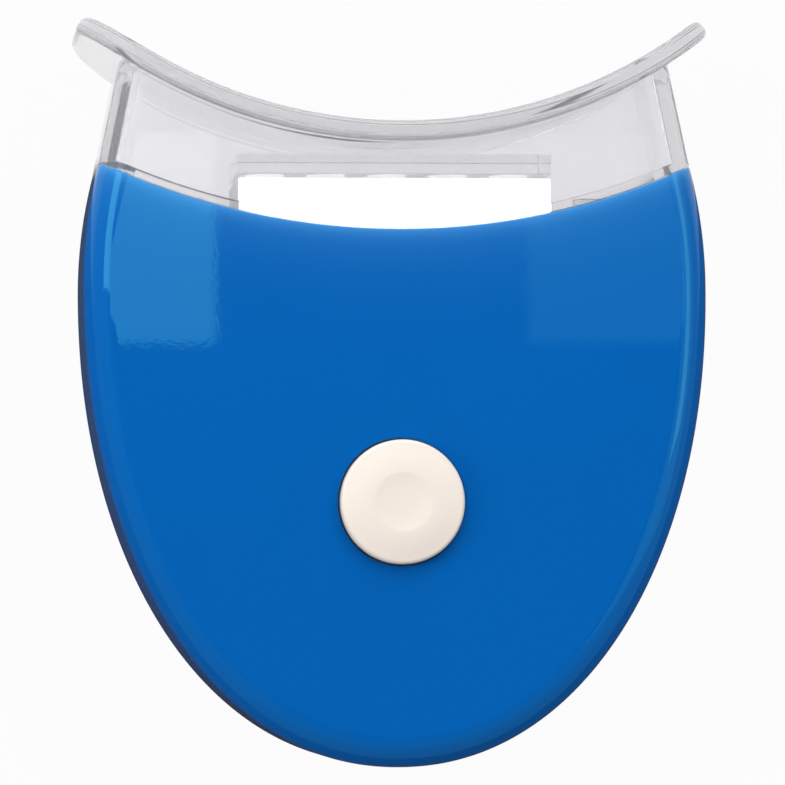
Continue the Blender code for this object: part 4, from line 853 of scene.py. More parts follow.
def make_back_shell():
    """The rear half with its battery bulge: posts, ribs, the cells' well, the door's recess, screw holes."""
    sizes = bpy.context.scene.lamp_casing
    clear = bpy.context.scene.lamp_mouthpiece
    screws = bpy.context.scene.lamp_fasteners
    high_z = parting_z - sizes.seam / 2
    inner_z = back_wall_z + sizes.wall
    root_z = inner_z - EMBED
    inner_edge = sizes.edge_radius - sizes.wall
    under_z = back_low.z - OVERRUN
    rib_depth = 3 * MM
    slope_base = sizes.rim_radius + sizes.raised_from_rim + back_wall_z
    slope_top = inner_z + OVERRUN
    wide, narrow = slope_base - under_z, slope_base - slope_top
    slope = round_bar("slope", (0.0, rim_axis_y()), wide, under_z, slope_top, ARC_STEPS, narrow)
    bulge = cut(raised_form("bulge"), slope)
    shell = outer_shell("back_half", back_wall_z, high_z, False, bulge)
    cut(shell, casing_slab("cavity", sizes.wall, inner_z, high_z + 2 * sizes.edge_radius, inner_edge))
    for place in case_places:
        join(shell, round_bar("post", place, sizes.post_radius, root_z, post_foot(place, -1)))
    bore = cell_high.x + sizes.well_clearance
    well_radius = bore + sizes.well_wall
    join(shell, round_bar("well", cell_axis, well_radius, root_z, board_low.z - seat_gap, ROUND_STEPS))
    led_board_ribs(shell, root_z, led_board_low.z + rib_depth)
    cut(shell, round_bar("well_bore", cell_axis, bore, under_z, board_low.z + OVERRUN, ROUND_STEPS))
    blade_low, blade_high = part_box("positive_contact")
    slot_low = (bore - seat_gap, blade_low.y - seat_gap, blade_low.z - seat_gap)
    slot_high = (well_radius + EMBED, blade_high.y + seat_gap, board_low.z + OVERRUN)
    cut(shell, block("blade_slot", slot_low, slot_high))
    cut_door_recess(shell)
    for corners in case_screw_boxes:
        place = middle(corners)
        seat = corners[0].z + screws.case_head_height + seat_gap
        head = corners[1].x - place.x + sizes.head_clearance
        cut(shell, round_bar("head_recess", place, head, under_z, seat))
        cut(shell, round_bar("screw_hole", place, clear.ear_hole, seat - EMBED, high_z + OVERRUN))
    finish(shell, "back_casing", "blue_plastic", "blue_shell", "case", "back_shell")


def door_sizes():
    """Half width of the door's face and its inner end, without runners and tongue."""
    sizes = bpy.context.scene.lamp_casing
    return door_high.x - sizes.runner_reach, door_high.y - sizes.tab_length


def cut_door_recess(shell):
    """The recess and grooves in the raised back that the battery door slides in."""
    sizes = bpy.context.scene.lamp_casing
    half, top_y = door_sizes()
    gap = sizes.door_gap
    floor_z = door_high.z + gap
    groove_z = door_high.z - sizes.runner_thickness - gap
    low_y = tail_y - OVERRUN
    for name, side_x, start_y, low_z, end_y in (
        ("recess", half + gap, low_y, back_low.z - OVERRUN, top_y + gap),
        ("grooves", door_high.x + gap, low_y, groove_z, top_y + gap),
        ("tab_slot", sizes.tab_width / 2 + gap, top_y - gap, groove_z, door_high.y + gap),
    ):
        cut(shell, block(name, (-side_x, start_y, low_z), (side_x, end_y, floor_z)))


def make_battery_door():
    """The sliding cover with its runners, its tongue and the grooves for the thumb."""
    sizes = bpy.context.scene.lamp_casing
    half, top_y = door_sizes()
    top_z = door_high.z
    runner_low = top_z - sizes.runner_thickness
    runner_tail = door_low.y + 4 * MM
    tab_half = sizes.tab_width / 2
    door = raised_form("door_form", door_low.z - back_low.z)
    keep(door, block("door_shape", (-half, tail_y - OVERRUN, back_low.z - OVERRUN), (half, top_y, top_z)))
    join(door, block("runners", (-door_high.x, runner_tail, runner_low), (door_high.x, top_y - EMBED, top_z)))
    join(door, block("tab", (-tab_half, top_y - EMBED, runner_low), (tab_half, door_high.y, top_z)))
    cutter = round_bar("grip", (0.0, 0.0), sizes.grip_radius, -sizes.grip_width / 2, sizes.grip_width / 2)
    round_edges(cutter, sizes.grip_radius / 2, EDGE_STEPS)
    cutter.data.transform(Matrix.Rotation(math.pi / 2, 4, "Y"))
    grip_y = tail_y + sizes.grip_from_tail + (sizes.grip_count - 1) * sizes.grip_pitch / 2
    row = {
        "Count": sizes.grip_count,
        "Pitch": sizes.grip_pitch,
        "Direction": (0.0, 1.0, 0.0),
        "Middle": (0.0, grip_y, door_low.z - sizes.grip_radius / 4),
    }
    cut(door, copies_of(cutter, "grip_grooves", "row_of_copies", "blue_plastic", row))
    round_edges(door, sizes.crisp_edge / 2, 2, CRISP_ANGLE)
    finish(door, "battery_cover", "blue_plastic", "blue_shell", "battery_door", "battery_door")


def fine_outline(outline, step=0.9 * MM):
    """The outline with its long straight runs divided, so that a bent plate follows its curve."""
    points = []
    for i, point in enumerate(outline):
        here, after = Vector(point), Vector(outline[(i + 1) % len(outline)])
        parts = max(1, round((after - here).length / step))
        points += [here.lerp(after, part / parts) for part in range(parts)]
    return points


def flange_rings(thickness, edge):
    """Rings over the flange as (share of its outline, inset, level): near face, rounded edge, far face."""
    inner_rings = 20
    turns = [math.pi / 2 * step / EDGE_STEPS for step in range(EDGE_STEPS + 1)]
    rings = [(step / inner_rings, edge, 0.0) for step in range(1, inner_rings + 1)]
    rings += [(1.0, edge * (1 - math.sin(turn)), edge * (1 - math.cos(turn))) for turn in turns[1:]]
    rings += [(1.0, edge * (1 - math.cos(turn)), thickness - edge * (1 - math.sin(turn))) for turn in turns]
    return rings + [(step / inner_rings, edge, thickness) for step in reversed(range(1, inner_rings))]


def flange_plate():
    """The lip flange: rings of a rounded rectangle, bent about the flange's axis, its edge rounded."""
    sizes = bpy.context.scene.lamp_mouthpiece
    thickness = sizes.flange_thickness
    axis_y = flange_axis_y()
    depth = mouth_high.z - mouth_low.z
    bm = bmesh.new()
    loops = []
    for share, inset, level in flange_rings(thickness, sizes.flange_round):
        corner = sizes.flange_corner - inset
        outline = rounded_rectangle(sizes.flange_width - 2 * inset, depth - 2 * inset, corner, 3 * EDGE_STEPS)
        radius = sizes.flange_radius + level
        loop = []
        for x, rise in fine_outline(outline):
            turn = math.asin(x * share / sizes.flange_radius)
            place = (radius * math.sin(turn), axis_y - radius * math.cos(turn), parting_z + rise * share)
            loop.append(bm.verts.new(place))
        loops.append(loop)
    for first, second in zip(loops, loops[1:]):
        for i, vertex in enumerate(first):
            j = (i + 1) % len(first)
            bm.faces.new((vertex, first[j], second[j], second[i]))
    for loop, level in ((loops[0], 0.0), (loops[-1], thickness)):
        tip = bm.verts.new((0.0, axis_y - sizes.flange_radius - level, parting_z))
        for i, vertex in enumerate(loop):
            bm.faces.new((vertex, loop[(i + 1) % len(loop)], tip))
    return object_from_bmesh("flange", bm)


def ear(place):
    """A flat tab from the tongue's side wall down to a case screw."""
    sizes = bpy.context.scene.lamp_mouthpiece
    casing = bpy.context.scene.lamp_casing
    top_y = shoulder_y - sizes.tongue_length
    side = math.copysign(1.0, place.x)
    wall_x = side * (shoulder_half() - casing.wall - sizes.tongue_gap - sizes.tongue_wall / 2)
    half = sizes.ear_width / 2
    corner = half / 2
    corner_y = place.y - sizes.ear_spare + corner
    outline = []
    for corner_x, start in ((-corner, 180), (corner, 270)):
        arc = arc_points((corner_x, 0.0), corner, start, start + 90)
        outline += [(place.x + x, corner_y + y) for x, y in arc]
    outline += sorted([(wall_x, top_y), (place.x - side * half, top_y)], reverse=True)
    return prism("ear", outline, parting_z - sizes.ear_thickness / 2, parting_z + sizes.ear_thickness / 2)


def make_mouthpiece():
    """The clear duct, its tongue inside the shells, its two screw ears and the lip flange."""
    sizes = bpy.context.scene.lamp_mouthpiece
    casing = bpy.context.scene.lamp_casing
    rim = casing.rim_radius
    wall = sizes.wall
    tongue_inset = casing.wall + sizes.tongue_gap
    throat_inset = tongue_inset + sizes.tongue_wall
    face = sizes.flange_radius + sizes.flange_thickness

    def run(name, inset, rounding, foot_radius, top_axis_y, top_radius):
        """The casing's slab, inset, from an arc inside the shells to an arc nearer the lips."""
        slab = casing_slab(name, inset, back_wall_z + inset, front_z - inset, rounding)
        keep(slab, tall_bar(name + "_foot", rim_axis_y(), foot_radius))
        return cut(slab, tall_bar(name + "_top", top_axis_y, top_radius))

    plate_middle = sizes.flange_radius + sizes.flange_thickness / 2
    tongue_end = rim + sizes.tongue_length
    tongue_top = rim - sizes.ledge_height / 2 - casing.rim_gap
    throat_top = rim - sizes.ledge_height - OVERRUN / 2
    inner_edge = casing.edge_radius - casing.wall
    duct = run("duct", 0.0, casing.edge_radius, rim - casing.rim_gap, flange_axis_y(), plate_middle)
    join(duct, run("tongue", tongue_inset, inner_edge, tongue_end, rim_axis_y(), tongue_top))
    hollow_edge = casing.edge_radius - wall
    cut(duct, run("hollow", wall, hollow_edge, rim - sizes.ledge_height, flange_axis_y(), face))
    cut(duct, run("throat", throat_inset, 0.0, tongue_end + OVERRUN, rim_axis_y(), throat_top))
    for place in case_places[:2]:
        join(duct, ear(place))
        hole_low, hole_high = parting_z - sizes.ear_thickness, parting_z + sizes.ear_thickness
        cut(duct, round_bar("ear_hole", place, sizes.ear_hole, hole_low, hole_high))
    join(duct, flange_plate())
    finish(duct, "clear_mouthpiece", "clear_plastic", "clear_plastic", "case", "mouthpiece")


def make_button():
    """The domed cap with its finger dimple, stop flange and plunger socket."""
    sizes = bpy.context.scene.lamp_button
    crown_z = button_high.z
    edge_z = crown_z - sizes.crown
    low_z = button_low.z
    flange_top = low_z + sizes.flange_height
    roof_z = edge_z - sizes.cap_wall
    skirt_inner = sizes.cap_radius - sizes.skirt_wall
    socket_inner = plunger_high.x + sizes.socket_clearance
    socket_outer = socket_inner + sizes.socket_wall
    rim = sizes.cap_radius - sizes.edge_round
    fine = 3 * EDGE_STEPS
    profile = []
    for step in range(fine + 1):
        share = step / fine
        profile.append((sizes.dimple_radius * share, crown_z - sizes.dimple_depth * (1 - share**3)))
    for step in range(1, fine):
        share = step / fine
        radius = sizes.dimple_radius + (rim - sizes.dimple_radius) * share
        profile.append((radius, crown_z - sizes.crown * share**2 * (1.5 - 0.5 * share)))
    profile += arc_points((rim, edge_z - sizes.edge_round), sizes.edge_round, 90, 0)
    profile += [
        (sizes.cap_radius, flange_top),
        (button_high.x, flange_top),
        (button_high.x, low_z),
        (skirt_inner, low_z),
        (skirt_inner, roof_z),
        (socket_outer, roof_z),
        (socket_outer, low_z),
        (socket_inner, low_z),
        (socket_inner, roof_z - seat_gap),
        (0.0, roof_z - seat_gap),
    ]
    cap = turned("cap", profile, 2 * ROUND_STEPS, button_axis)
    finish(cap, "push_button", "button_plastic", "white_button", "button", "button")


def lamp_row(name, profile, foot_y, material, pins=()):
    """A turned form and its pins, once for each lamp, side by side on the mid-plane."""
    sizes = bpy.context.scene.lamp_light
    pattern = turned(name + "_pattern", profile, POST_STEPS)
    for pin in pins:
        join(pattern, pin)
    pattern.data.transform(Matrix.Rotation(-math.pi / 2, 4, "X"))
    row = {
        "Count": sizes.lamp_count,
        "Pitch": sizes.lamp_pitch,
        "Direction": (1.0, 0.0, 0.0),
        "Middle": (0.0, foot_y, parting_z),
    }
    return copies_of(pattern, name, "row_of_copies", material, row)


def make_lamps():
    """The row of lamps: domed epoxy bodies with two pins each."""
    sizes = bpy.context.scene.lamp_light
    foot_y = led_board_high.y + seat_gap
    height = lamp_high.y - foot_y
    profile = arc_points((0.0, height - sizes.lamp_radius), sizes.lamp_radius, 90, 0, 2 * EDGE_STEPS)
    profile[0] = (0.0, height)
    profile += [
        (sizes.lamp_radius, sizes.flange_height),
        (sizes.flange_radius, sizes.flange_height),
        (sizes.flange_radius, 0.0),
        (0.0, 0.0),
    ]
    half = sizes.pin_side / 2
    pins = []
    for side in (-1, 1):
        x = side * sizes.pin_pitch / 2
        pins.append(block("pin", (x - half, -half, lamp_low.y - foot_y), (x + half, half, EMBED)))
    row = lamp_row("lamps", profile, foot_y, "lamp_epoxy", pins)
    finish(row, "lamp_row", "lamp_epoxy", "led_epoxy", "case", "led_1", "led_2", "led_3", "led_4", "led_5")


def make_reflector():
    """The white block with a cup round each lamp, and the clear plate over it."""
    sizes = bpy.context.scene.lamp_light
    foot_y = led_board_high.y + seat_gap
    throat = sizes.lamp_radius + sizes.lamp_clearance
    foot = sizes.flange_radius + sizes.lamp_clearance
    mouth_rise = reflector_high.y - foot_y
    throat_low = sizes.flange_height + sizes.lamp_clearance
    cup_low = lamp_high.y - foot_y - 2 * sizes.lamp_radius
    flare = 0.7
    bore = [(0.0, mouth_rise + OVERRUN), (sizes.cup_radius, mouth_rise + OVERRUN)]
    for step in range(EDGE_STEPS + 1):
        share = 1 - step / EDGE_STEPS
        radius = throat + (sizes.cup_radius - throat) * share**flare
        bore.append((radius, cup_low + (mouth_rise - cup_low) * share))
    bore += [(throat, throat_low), (foot, throat_low), (foot, -OVERRUN), (0.0, -OVERRUN)]
    body = block("reflector_block", reflector_low, reflector_high)
    round_edges(body, sizes.block_round, 4)
    cut(body, lamp_row("cups", bore, foot_y, "reflector_plastic"))
    finish(body, "light_reflector", "reflector_plastic", "white_reflector", "case", "reflector")

    plate = block("plate", lens_low, lens_high)
    round_edges(plate, sizes.lens_round, 4)
    finish(plate, "lens_cover", "lens_plastic", "clear_plastic", "case", "lens_plate")


def screw_pattern(name, tip, head_height, head_radius, shank):
    """A pan-head screw that points up from its head's face at zero, with a true helical thread."""
    sizes = bpy.context.scene.lamp_fasteners
    point = 2 * shank
    blunt = 0.35  # the tip's radius as a share of the shank's
    nearly = 1.01
    round_head = head_height * 0.4
    arm = head_radius * 0.62
    rows = max(2, round((tip - head_height) / sizes.thread_pitch * EDGE_STEPS))
    profile = [(0.0, tip)]
    for row in range(rows + 1):
        z = tip + (head_height - tip) * row / rows
        profile.append((shank * min(1.0, blunt + (1 - blunt) * (tip - z) / point), z))
    profile += [(head_radius, head_height)]
    profile += arc_points((head_radius - round_head, round_head), round_head, 0, -90)
    profile += [(0.0, 0.0)]
    obj = turned(name, profile, POST_STEPS // 2)
    for vertex in obj.data.vertices:
        radius = math.hypot(vertex.co.x, vertex.co.y)
        if head_height < vertex.co.z < tip and 0 < radius <= shank * nearly:
            turn = math.atan2(vertex.co.y, vertex.co.x) / (2 * math.pi)
            phase = (vertex.co.z / sizes.thread_pitch - turn) % 1.0
            shrink = 1 - sizes.thread_depth / radius * abs(2 * phase - 1)
            vertex.co.x *= shrink
            vertex.co.y *= shrink
    half = sizes.recess_width / 2
    for half_x, half_y in ((arm, half), (half, arm)):
        cut(obj, block("recess", (-half_x, -half_y, -OVERRUN), (half_x, half_y, sizes.recess_depth)))
    return obj


def make_screws():
    """The case screws and the board screws, each kind as copies on its places."""
    sizes = bpy.context.scene.lamp_fasteners
    kinds = (
        ("case", case_screw_boxes, sizes.case_head_height, sizes.case_shank),
        ("board", board_screw_boxes, sizes.board_head_height, sizes.board_shank),
    )
    for kind, boxes, head_height, shank in kinds:
        low, high = boxes[0]
        pattern = screw_pattern(kind + "_pattern", high.z - low.z, head_height, (high.x - low.x) / 2, shank)
        places = bpy.data.meshes.new(kind + "_places")
        places.from_pydata([(*middle(corners).xy, corners[0].z) for corners in boxes], [], [])
        screws = copies_of(pattern, kind + "_copies", "copies_on_places", "screw_steel", {}, places)
        nodes = [f"{kind}_screw_{i + 1}" for i in range(len(boxes))]
        finish(screws, kind + "_screws", "screw_steel", "screw_steel", "case", *nodes)


def make_cells():
    """Two coin cells: a wide can, crimped round a narrower cap."""
    cap_share = 0.88
    step = 0.35 * MM
    crimp = 0.25 * MM
    for i in (1, 2):
        low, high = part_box(f"coin_cell_{i}")
        radius = high.x
        cap = radius * cap_share
        profile = [(0.0, high.z), (cap - crimp, high.z)]
        profile += arc_points((cap - crimp, high.z - crimp), crimp, 90, 0)[1:]
        profile += [(cap, high.z - step)]
        profile += arc_points((radius - crimp, high.z - step - crimp), crimp, 90, 0)
        profile += arc_points((radius - crimp, low.z + crimp), crimp, 0, -90)
        profile += [(0.0, low.z)]
        cell = turned("cell", profile, ROUND_STEPS, middle((low, high)))
        finish(cell, f"cell_{i}", "cell_steel", "cell_steel", "case", f"coin_cell_{i}")


CARRIED_OVER = {
    "main_board": "circuit_board",
    "led_board": "circuit_board",
    "switch_body": "switch_plastic",
    # The plunger shares the reflector's finish, including the painted light glowing on its upward faces.
    "switch_plunger": "reflector_plastic",
    "resistor": "resistor_paint",
    "positive_contact": "contact_brass",
    "negative_contact": "contact_brass",
    "positive_lead": "red_insulation",
    "negative_lead": "black_insulation",
}


def dress_nodes():
    """Gives the nodes whose shape is right their finish."""
    for node, material in CARRIED_OVER.items():
        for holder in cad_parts[node].material_slots:
            holder.material = finish_material(material)


def make_switch_spring():
    """The switch's spring: a copy of the frame's spring with its own mesh, finished in spring steel."""
    spring = new_object("spring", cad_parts["switch_spring"].data.copy())
    finish(spring, "spring", "spring_steel", "spring_steel", "case", "switch_spring")
    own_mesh(spring)


def new_material(name, **constants):
    """A new material's graph and Principled shader, whose constant sockets are set by name."""
    material = bpy.data.materials.new(name + FINISH)
    material.use_nodes = True
    shader = material.node_tree.nodes["Principled BSDF"]
    for socket, value in constants.items():
        shader.inputs[socket.replace("_", " ")].default_value = value
    return Graph(material.node_tree), shader


def skin(g, shader, group_name, colour, bump, depth, **inputs):
    """Feeds colour, roughness and normal of a shader from one of the shared groups."""
    effect = g.node("ShaderNodeGroup", node_tree=shared_tree(group_name))
    is_socket = isinstance(colour, bpy.types.NodeSocket)
    g.feed(effect.inputs["Colour"], colour if is_socket else (*colour, 1.0))
    for name, value in inputs.items():
        g.feed(effect.inputs[name.replace("_", " ")], value)
    g.feed(shader.inputs["Base Color"], effect.outputs["Colour"])
    g.feed(shader.inputs["Roughness"], effect.outputs["Roughness"])
    if bump:
        relief = {"Strength": bump, "Distance": depth, "Height": effect.outputs["Height"]}
        g.feed(shader.inputs["Normal"], g.node("ShaderNodeBump", relief).outputs["Normal"])


def moulded(g, shader, colour, shade, patch, grain, rough, rough_change, bump=0.0, depth=0.0):
    """Moulded plastic's surface: how shade and gloss change over it, its patches' and grain's sizes."""
    inputs = {"Shade_Change": shade, "Patch_Size": patch, "Grain_Size": grain}
    inputs.update(Roughness=rough, Roughness_Change=rough_change)
    skin(g, shader, "moulded_skin", colour, bump, depth, **inputs)


def blue_plastic(name):
    """Glossy blue with a painted highlight: a paler blue is painted along the concave edge, where the edge's
    rounding catches light.
    """
    sizes = bpy.context.scene.lamp_casing
    near_share, far_reach = 0.75, 6.0
    g, shader = new_material(name, IOR=1.5, Specular_IOR_Level=0.45, Specular_Tint=(0.18, 0.95, 1.0, 1.0))
    place = g.parts(g.coordinates())
    arm = g.vector(place["X"], g.less(place["Y"], rim_axis_y()), 0.0)
    depth = g.less(g.vector_math("LENGTH", {0: arm})["Value"], sizes.rim_radius)
    near = g.math("EXPONENT", g.times(depth, -1.0 / sizes.painted_highlight_depth))
    wide = g.math("EXPONENT", g.times(depth, -1.0 / (far_reach * sizes.painted_highlight_depth)))
    # Painted highlight: the share of the paler rim blue, highest at the concave edge and fading away from it.
    painted_light = g.math("MINIMUM", g.blend(1.0 - near_share, near, wide), 1.0)
    shades = [g.blend(painted_light, deep, pale) for deep, pale in zip(sizes.blue, sizes.painted_highlight_blue)]
    surface = dict(shade=0.05, patch=0.018, grain=0.0005, rough=0.024, rough_change=0.008)
    moulded(g, shader, g.vector(*shades), **surface, bump=0.03, depth=0.00002)


def clear_plastic(name, tint, rough=0.02, ior=1.25, density=0.0, clearness=0.86):
    """Clear plastic. Its density greys the long ways through it and leaves thin walls clear."""
    g, shader = new_material(name, IOR=ior, Transmission_Weight=clearness)
    if density:
        smoke = {"Color": (0.50, 0.49, 0.53, 1.0), "Density": density}
        volume = g.tree.nodes["Material Output"].inputs["Volume"]
        g.feed(volume, g.node("ShaderNodeVolumeAbsorption", smoke).outputs[0])
    surface = dict(shade=0.012, patch=0.009, grain=0.0012, rough=rough, rough_change=rough / 2)
    moulded(g, shader, tint, **surface, bump=0.02, depth=0.00001)


def mouthpiece_plastic(name):
    sizes = bpy.context.scene.lamp_mouthpiece
    clear_plastic(name, sizes.tint, density=sizes.density)


def plastic(name, colour, level=0.5, **surface):
    g, shader = new_material(name, IOR=1.5, Specular_IOR_Level=level)
    moulded(g, shader, colour, **surface)


def button_plastic(name):
    surface = dict(shade=0.02, patch=0.004, grain=0.00035, rough=0.34, rough_change=0.05)
    plastic(name, bpy.context.scene.lamp_button.cream, level=0.4, **surface, bump=0.08, depth=0.00003)


def reflector_plastic(name):
    """White plastic whose upward faces glow with painted light: an emission brightens them, though the
    reflector is no lamp.
    """
    sizes = bpy.context.scene.lamp_light
    upward = 0.7
    g, shader = new_material(name, IOR=1.5, Specular_IOR_Level=0.3, Emission_Color=WHITE)
    facing = g.parts(g.coordinates("Normal"))["Z"]
    # Painted light: faces that point up give off light of their own, although the reflector is no lamp.
    g.feed(shader.inputs["Emission Strength"], g.times(g.math("GREATER_THAN", facing, upward), sizes.painted_light))
    surface = dict(shade=0.015, patch=0.005, grain=0.0004, rough=0.4, rough_change=0.05)
    moulded(g, shader, sizes.white, **surface, bump=0.05, depth=0.00002)


def metal(name, colour, roughness, stretch, line=0.0002, change=0.12):
    """Metal whose fine lines run along the axis that its stretch makes smallest."""
    g, shader = new_material(name, Metallic=1.0)
    inputs = {"Stretch": stretch, "Line_Size": line, "Shade_Change": change, "Roughness_Change": 0.12}
    skin(g, shader, "drawn_metal", colour, 0.1, 0.00001, Roughness=roughness, **inputs)


def circuit_board(name):
    """Green solder mask with paler copper runs under it, on a grid."""
    g, shader = new_material(name, IOR=1.55, Coat_Weight=0.4, Coat_Roughness=0.15)
    grid = {
        "Vector": g.coordinates(),
        "Color1": (0.008, 0.11, 0.035, 1.0),
        "Color2": (0.012, 0.14, 0.045, 1.0),
        "Mortar": (0.03, 0.24, 0.08, 1.0),
        "Scale": 1.0,
        "Mortar Size": 0.0003,
        "Mortar Smooth": 0.1,
        "Brick Width": 0.0072,
        "Row Height": 0.0031,
    }
    runs = g.node("ShaderNodeTexBrick", grid).outputs["Color"]
    surface = dict(shade=0.1, patch=0.004, grain=0.0002, rough=0.4, rough_change=0.08)
    moulded(g, shader, runs, **surface, bump=0.1, depth=0.00002)


def resistor_paint(name):
    """A beige body with four colour bands across it, and tinned leads."""
    g, shader = new_material(name, IOR=1.5)
    low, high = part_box("resistor")
    axis_x, axis_y = (low.x + high.x) / 2, (low.y + high.y) / 2
    half = 1.7 * MM
    place = g.parts(g.coordinates())
    along = g.over(g.less(place["Y"], axis_y - half), 2 * half)
    bands = g.node("ShaderNodeValToRGB", {"Fac": along})
    ramp = bands.color_ramp
    ramp.interpolation = "CONSTANT"
    beige, tin = (0.55, 0.42, 0.25, 1.0), (0.6, 0.6, 0.58, 1.0)
    brown, black, gold = (0.22, 0.06, 0.015, 1.0), (0.012, 0.012, 0.012, 1.0), (0.6, 0.42, 0.1, 1.0)
    stops = [(0.005, beige)]
    starts, ends = (0.18, 0.36, 0.54, 0.78), (0.26, 0.44, 0.62, 0.86)
    for start, end, band in zip(starts, ends, (brown, black, brown, gold)):
        stops += [(start, band), (end, beige)]
    ramp.elements[0].position, ramp.elements[0].color = 0.0, tin
    ramp.elements[1].position, ramp.elements[1].color = 0.995, tin
    for position, rgba in stops:
        ramp.elements.new(position).color = rgba
    side = g.math("ABSOLUTE", g.less(place["X"], axis_x))
    inside = g.math("LESS_THAN", side, (high.x - low.x) / 2)
    shaft = g.times(g.math("GREATER_THAN", along, 0.0), g.math("LESS_THAN", along, 1.0))
    g.feed(shader.inputs["Metallic"], g.less(1.0, g.times(inside, shaft)))
    surface = dict(shade=0.06, patch=0.001, grain=0.0001, rough=0.32, rough_change=0.05)
    moulded(g, shader, bands.outputs["Color"], **surface)


SWITCH = dict(shade=0.15, patch=0.003, grain=0.0002, rough=0.5, rough_change=0.08, bump=0.2, depth=0.00003)
LEAD = dict(shade=0.12, patch=0.004, grain=0.0003, rough=0.42, rough_change=0.08, bump=0.15, depth=0.00002)
CELL = dict(roughness=0.27, stretch=(0.06, 1.0, 1.0), line=0.00018, change=0.18)
MATERIALS = {
    "blue_plastic": (blue_plastic, {}),
    "clear_plastic": (mouthpiece_plastic, {}),
    "lens_plastic": (clear_plastic, dict(tint=(0.94, 0.945, 0.96))),
    "lamp_epoxy": (clear_plastic, dict(tint=(0.9, 0.93, 0.97), rough=0.04, ior=1.53, clearness=1.0)),
    "button_plastic": (button_plastic, {}),
    "reflector_plastic": (reflector_plastic, {}),
    "switch_plastic": (plastic, dict(colour=(0.012, 0.012, 0.014), **SWITCH)),
    "red_insulation": (plastic, dict(colour=(0.42, 0.012, 0.012), **LEAD)),
    "black_insulation": (plastic, dict(colour=(0.012, 0.012, 0.013), **LEAD)),
    "spring_steel": (metal, dict(colour=(0.55, 0.55, 0.54), roughness=0.25, stretch=(1.0, 1.0, 0.2))),
    "cell_steel": (metal, dict(colour=(0.66, 0.66, 0.64), **CELL)),
    "screw_steel": (metal, dict(colour=(0.5, 0.5, 0.5), roughness=0.3, stretch=(1.0, 1.0, 0.3))),
    "contact_brass": (metal, dict(colour=(0.72, 0.52, 0.2), roughness=0.28, stretch=(1.0, 0.1, 1.0))),
    "circuit_board": (circuit_board, {}),
    "resistor_paint": (resistor_paint, {}),
}


def finish_material(name):
    """The finish of that name. Its ending keeps it apart from the frame's own material of the same name."""
    if name + FINISH not in bpy.data.materials:
        maker, looks = MATERIALS[name]
        maker(name, **looks)
    return bpy.data.materials[name + FINISH]


def empty_graph(owner):
    """The graph of a material or a world, without its first nodes."""
    owner.use_nodes = True
    owner.node_tree.nodes.clear()
    return Graph(owner.node_tree)


def floor_material():
    """A white floor: it keeps a faint shadow and is white to the camera and through clear parts. In gloss it
    is dark paper with a pale card beside the mouthpiece, for a deep blue and a pale clear plastic."""
    settings = bpy.context.scene.lamp_stage
    paper_shade, gloss_shade, mottle_share = 0.45, 0.07, 0.01
    white_share, card_share, card_fade = 0.96, 0.9, 2 * MM
    material = bpy.data.materials.new("white_floor")
    g = empty_graph(material)
    place = g.coordinates()
    mottle = g.noise(place, 40.0, 2.0)
    rays = g.node("ShaderNodeLightPath").outputs
    start = settings.card_start
    across = {"Value": g.parts(place)["Y"], "From Min": start, "From Max": start + card_fade}
    card = g.node("ShaderNodeMapRange", across).outputs[0]
    tone = g.add(g.blend(rays["Is Glossy Ray"], paper_shade, gloss_shade), g.times(mottle, mottle_share))
    grey = g.node("ShaderNodeCombineColor", {"Red": tone, "Green": tone, "Blue": tone}).outputs[0]
    paper = g.node("ShaderNodeBsdfDiffuse", {"Color": grey}).outputs[0]
    white = g.node("ShaderNodeEmission", {"Color": WHITE, "Strength": 1.0}).outputs[0]
    clear_rays = g.math("MAXIMUM", rays["Is Camera Ray"], rays["Is Transmission Ray"])
    card_seen = g.times(rays["Is Glossy Ray"], g.times(card, card_share))
    share = g.math("MAXIMUM", g.times(clear_rays, white_share), card_seen)
    mixed = g.node("ShaderNodeMixShader", {0: share, 1: paper, 2: white}).outputs[0]
    g.node("ShaderNodeOutputMaterial", {"Surface": mixed})
    return material


def studio_world():
    """Soft light from all round, weaker from straight above, and white to the camera."""
    settings = bpy.context.scene.lamp_stage
    world = bpy.data.worlds.new("studio")
    bpy.context.scene.world = world
    g = empty_graph(world)
    rise = {
        "Value": g.parts(g.coordinates("Generated"))["Z"],
        "From Min": 0.80,
        "From Max": 0.97,
        "To Min": settings.horizon_level,
        "To Max": settings.sky_level,
    }
    sky = g.node("ShaderNodeMapRange", rise, interpolation_type="SMOOTHSTEP").outputs[0]
    rays = g.node("ShaderNodeLightPath").outputs
    strength = g.blend(rays["Is Transmission Ray"], sky, settings.clear_level)
    strength = g.blend(rays["Is Camera Ray"], strength, 1.0)
    background = g.node("ShaderNodeBackground", {"Color": WHITE, "Strength": strength}).outputs[0]
    g.node("ShaderNodeOutputWorld", {"Surface": background})


def looking_at(place, target, up):
    """The matrix of a camera or a light at a place, turned to a target, with its top towards up."""
    back = (place - target).normalized()
    right = up.cross(back).normalized()
    above = back.cross(right)
    turn = Matrix((right, above, back)).transposed().to_4x4()
    return Matrix.Translation(place) @ turn


def panel_light(name, place, target, up, width, height, radiance, mirrored=True):
    """A soft panel: its power follows from its radiance and its area. It may be kept out of reflections."""
    data = bpy.data.lights.new(name, "AREA")
    data.shape = "RECTANGLE"
    data.size = width
    data.size_y = height
    data.energy = radiance * math.pi * width * height
    obj = new_object(name, data)
    obj.matrix_world = looking_at(Vector(place), Vector(target), Vector(up))
    obj.visible_glossy = mirrored


